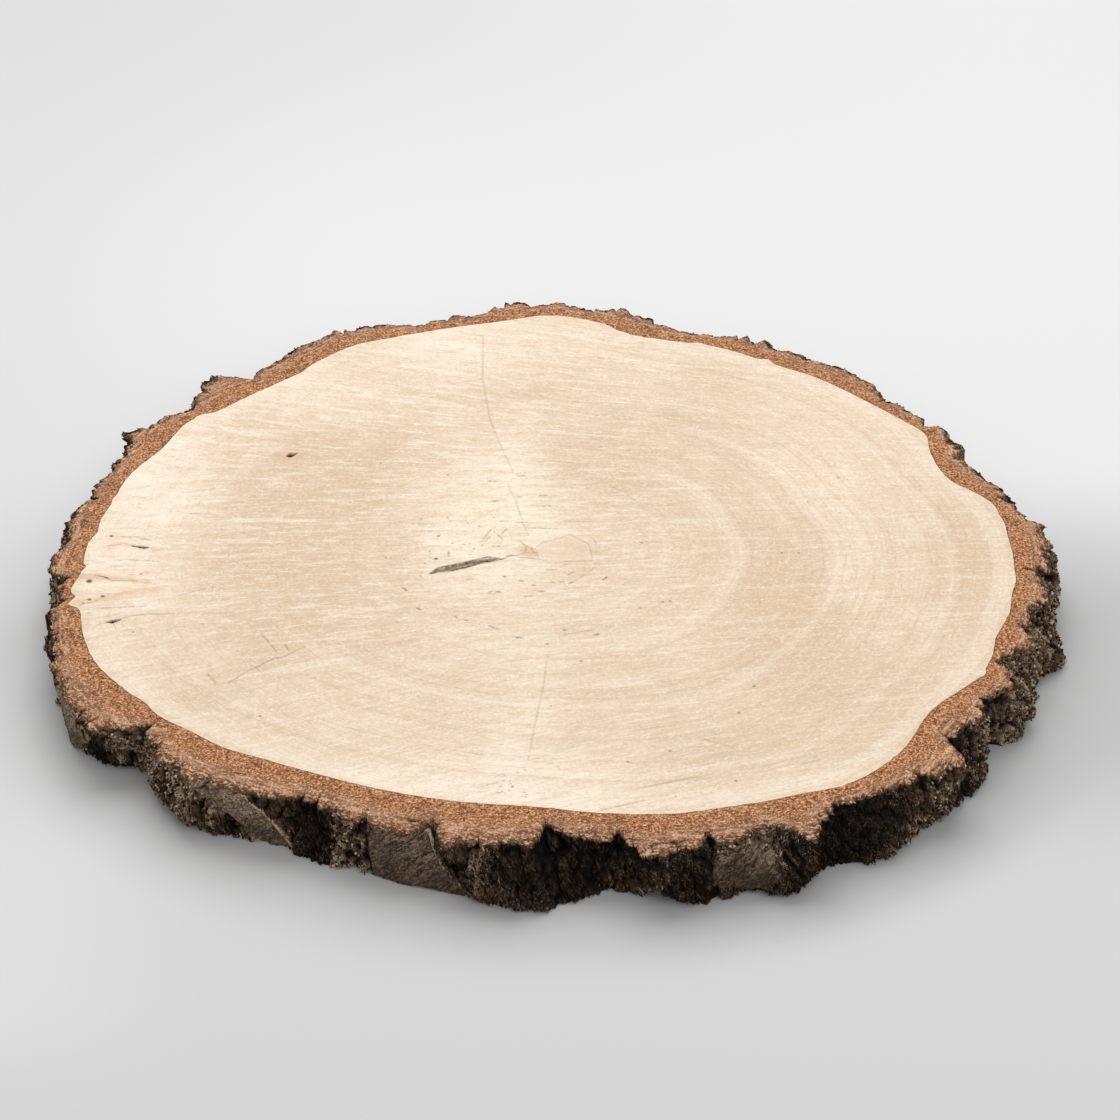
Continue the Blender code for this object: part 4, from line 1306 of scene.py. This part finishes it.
def facet_color(n, fine, patch):
    """Fibrous tan-grey wood of the bark's smooth broken facets."""
    rough = n.color
    fibre = n.noise(n.vector("fibres", (0.34, 0.34, 0.12)), 1, 4, 0.65, 1.2)
    web = n.noise(n.vector("fibres", (0.6, 0.6, 0.4)), 1, 3, 0.65, 2)
    light = n.value("light")
    height = n.add('ShaderNodeSeparateXYZ', {0: n.place()}).outputs["Z"]
    n.color = n.mix(n.ramp(fibre, 0.42, 0.56), (72, 54, 42), (158, 131, 106))
    # Lighter or darker by the facet's light value: partly its own tone, partly painted light and shade by
    # which way it faces.
    n.paint(light, 0.4, 1, 0.26, (178, 152, 126))
    n.paint(web, 0.53, 0.58, 0.75, (214, 188, 158))
    n.paint(web, 0.45, 0.4, 0.7, (46, 34, 26))
    n.paint(fine, 0.47, 0.4, 0.8, (42, 31, 23))
    n.paint(patch, 0.5, 0.66, 0.45, (80, 61, 46))
    n.paint(light, 0.5, 0.1, 0.45, (54, 41, 31))
    # Darker towards the bottom.
    n.paint(height, 22, 4, 0.45, (44, 33, 25))
    return n.mix(n.ramp(n.value("smooth"), 0.25, 0.75), rough, n.color)


def crust_material():
    """Outer bark: near-black crust with grey-brown grains, and fibrous tan-grey facets, with painted
    highlights on its raised grains and edges and painted shade in its fissures.
    """
    n = Nodes("bark_crust", 0.2)
    fine = n.noise(n.place(), 0.8, 4, 0.75)
    grit_and_glint = n.noise(n.place(), 1.9, 2, 0.6)
    patch = n.noise(n.place((1, 1, 0.6)), 0.13, 3, 0.6)
    pale = n.plus(n.value("pale"), n.ramp(patch, 0.35, 0.65, -0.3, 0.4), True)
    paleness = n.times(pale, 0.1)
    relief = n.value("relief")
    dark = n.mix(n.ramp(patch, 0.4, 0.65), (11, 7, 5), (34, 23, 16))
    n.color = n.mix(pale, dark, (102, 76, 58))
    # Painted highlights: pale grains, splinters and grit are laid on most where the crust stands out and
    # least in its black places, partly their own colour and partly painted highlight on raised tips.
    lit = n.ramp(n.value("pale"), -0.7, 0, 0.25, 1)
    high = n.times(n.ramp(relief, -0.4, 1.6, 0.25, 1), lit)
    grain = n.plus(n.plus(n.times(n.value("tint"), 0.55), n.times(fine, 0.9)), paleness)
    n.paint(grain, 0.7, 0.86, 1, n.mix(pale, (118, 93, 73), (192, 163, 136)), high)
    splinter = n.noise(n.place((1, 1, 0.5)), 1, 3, 0.7, 1.4)
    splinter = n.plus(splinter, n.times(paleness, 0.4))
    n.paint(splinter, 0.57, 0.64, 0.9, n.mix(pale, (156, 130, 108), (216, 196, 172)), high)
    n.paint(grit_and_glint, 0.62, 0.67, 1, (226, 208, 182), high)
    n.paint(n.noise(n.place(), 0.4), 0.58, 0.68, 0.6, (108, 72, 48), lit)
    n.color = facet_color(n, fine, patch)
    # Pale raised edges: partly their own colour and partly a painted highlight along them.
    n.paint(n.value("ridge"), 0.15, 0.5, 1, (222, 194, 156), n.ramp(fine, 0.4, 0.52, 0.2, 0.9))
    # Painted shade: fissures and pits turn near black with their depth.
    n.paint(relief, -0.1, -1.8, 0.95, (7, 4, 3))
    n.bump(n.plus(fine, n.times(grit_and_glint, 0.5)), 1, 1)
    duller = n.ramp(n.value("pale"), -0.3, 0.3, -0.1, 0.2)
    return n.finish(n.plus(n.ramp(fine, 0.4, 0.7, 0.55, 0.9), duller, True))


def crumb_material():
    """Loose grains of the crust, from near black to pale grey brown."""
    n = Nodes("bark_crumb", 0.08)
    shade = n.value("shade")
    n.color = n.mix(n.ramp(shade, 0, 0.55), (18, 12, 8), (98, 76, 56))
    n.paint(shade, 0.5, 1, 1, (212, 190, 160))
    n.paint(n.noise(n.place(), 1.6), 0.55, 0.7, 0.5, (60, 40, 27))
    return n.finish(0.8)


def grey(level):
    """A grey from its 0 to 255 screen value."""
    return (level, level, level)


def floor_material():
    """Pale floor with broad painted light and shade: lighter behind the slice, darker towards the front, a
    painted shadow on each side of it and a painted contact shadow round its front.
    """
    n = Nodes("studio_floor")
    apart = n.add('ShaderNodeVectorMath', {0: n.place((1, 1, 0))}, operation='LENGTH').outputs["Value"]
    parts = n.add('ShaderNodeSeparateXYZ', {0: n.place()}).outputs
    x, y = parts["X"], parts["Y"]
    # Painted light: the floor behind the slice is lighter, more so to the right.
    near_back = n.mix(n.ramp(x, -320, -80), grey(216), grey(226))
    far_back = n.mix(n.ramp(x, -300, 300), grey(208), grey(222))
    back = n.mix(n.ramp(y, 250, 650), near_back, far_back)
    n.color = n.mix(n.ramp(x, -120, -220), grey(209), grey(217))
    n.paint(y, -260, -340, 1, grey(207))
    n.paint(y, -20, 100, 1, back)
    # Painted shadow on both sides of the slice, darker on the right.
    side_shadow = n.times(n.times(n.ramp(y, -200, -85), n.ramp(y, 120, -30)), n.ramp(apart, 520, 270))
    n.cover(side_shadow, n.mix(n.ramp(x, -100, 100), grey(207), grey(190)))
    # Painted contact shadow just round the front of the slice's foot, darker on the right.
    close = n.times(n.ramp(apart, 262, 230), n.ramp(y, 20, -40))
    n.cover(n.times(close, n.ramp(x, 0, 160, 0.4, 0.9)), grey(188))
    return n.finish(0.9)


# The studio

def look_from(place, target):
    """The matrix of a camera or lamp at a place, looking at a target, in mm."""
    direction = Vector(target) - Vector(place)
    matrix = direction.to_track_quat('-Z', 'Y').to_matrix().to_4x4()
    return Matrix.Translation(Vector(place) * MM) @ matrix


def make_camera():
    """The photograph's viewpoint."""
    data = bpy.data.cameras.new("camera")
    data.sensor_width = SENSOR
    data.lens = SENSOR * CAMERA_DISTANCE / VIEW_WIDTH
    data.clip_end = CLIP_END
    camera = bpy.data.objects.new("camera", data)
    bpy.context.scene.collection.objects.link(camera)
    target = Vector((VIEW_POINT[0], VIEW_POINT[1], THICKNESS))
    back = Vector((0.0, -math.cos(ELEVATION), math.sin(ELEVATION)))
    camera.matrix_world = look_from(target + back * CAMERA_DISTANCE, target)
    bpy.context.scene.camera = camera


def make_lamp(name, place, size, power):
    """A square soft box that faces the slice."""
    data = bpy.data.lights.new(name, 'AREA')
    data.size = size * MM
    data.energy = power
    lamp = bpy.data.objects.new(name, data)
    lamp.matrix_world = look_from(place, (0.0, 0.0, 0.0))
    bpy.context.scene.collection.objects.link(lamp)


FLOOR_REACH = 6000.0
SURROUND_STRENGTH = 0.46

# Lamps: place and size in mm, and watts
KEY = ((-150.0, 1300.0, 2100.0), 2400.0, 47.5)
FILL = ((500.0, -1500.0, 1500.0), 1800.0, 12.0)


def make_studio():
    """Floor, soft light and an even pale surround."""
    corners = [(x * FLOOR_REACH, y * FLOOR_REACH, 0.0) for x, y in ((-1, -1), (1, -1), (1, 1), (-1, 1))]
    floor = mesh_object("floor", corners, [(0, 1, 2, 3)], floor_material())
    make_lamp("key", *KEY)
    make_lamp("fill", *FILL)
    world = bpy.data.worlds.new("surround")
    world.use_nodes = True
    background = world.node_tree.nodes["Background"]
    background.inputs["Color"].default_value = (1.0, 1.0, 1.0, 1.0)
    background.inputs["Strength"].default_value = SURROUND_STRENGTH
    bpy.context.scene.world = world
    bpy.context.scene.view_settings.view_transform = 'Standard'


def make_slice():
    """All pieces of the slice, each with its material slot."""
    radius, height, sway, values, crusty = shape_bark()
    inner = np.maximum(radius[:, RIM:FOOT + 1].min(axis=1) - HIDDEN_INSET, WOOD_RADII + LEAST_BARK)
    cut_bark = make_cut_bark(radius, height, sway, inner, crusty, cut_bark_material())
    crust = make_crust(radius, height, sway, inner, values, crust_material())
    crumbs = make_crumbs(crust, values, crumb_material())
    wood = make_wood(wood_material())
    return (cut_bark, "bark"), (crust, "bark"), (crumbs, "bark"), (wood, "wood")


make_camera()
make_studio()
for piece, slot in make_slice():
    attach(piece, BODY)
    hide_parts(SLICE)
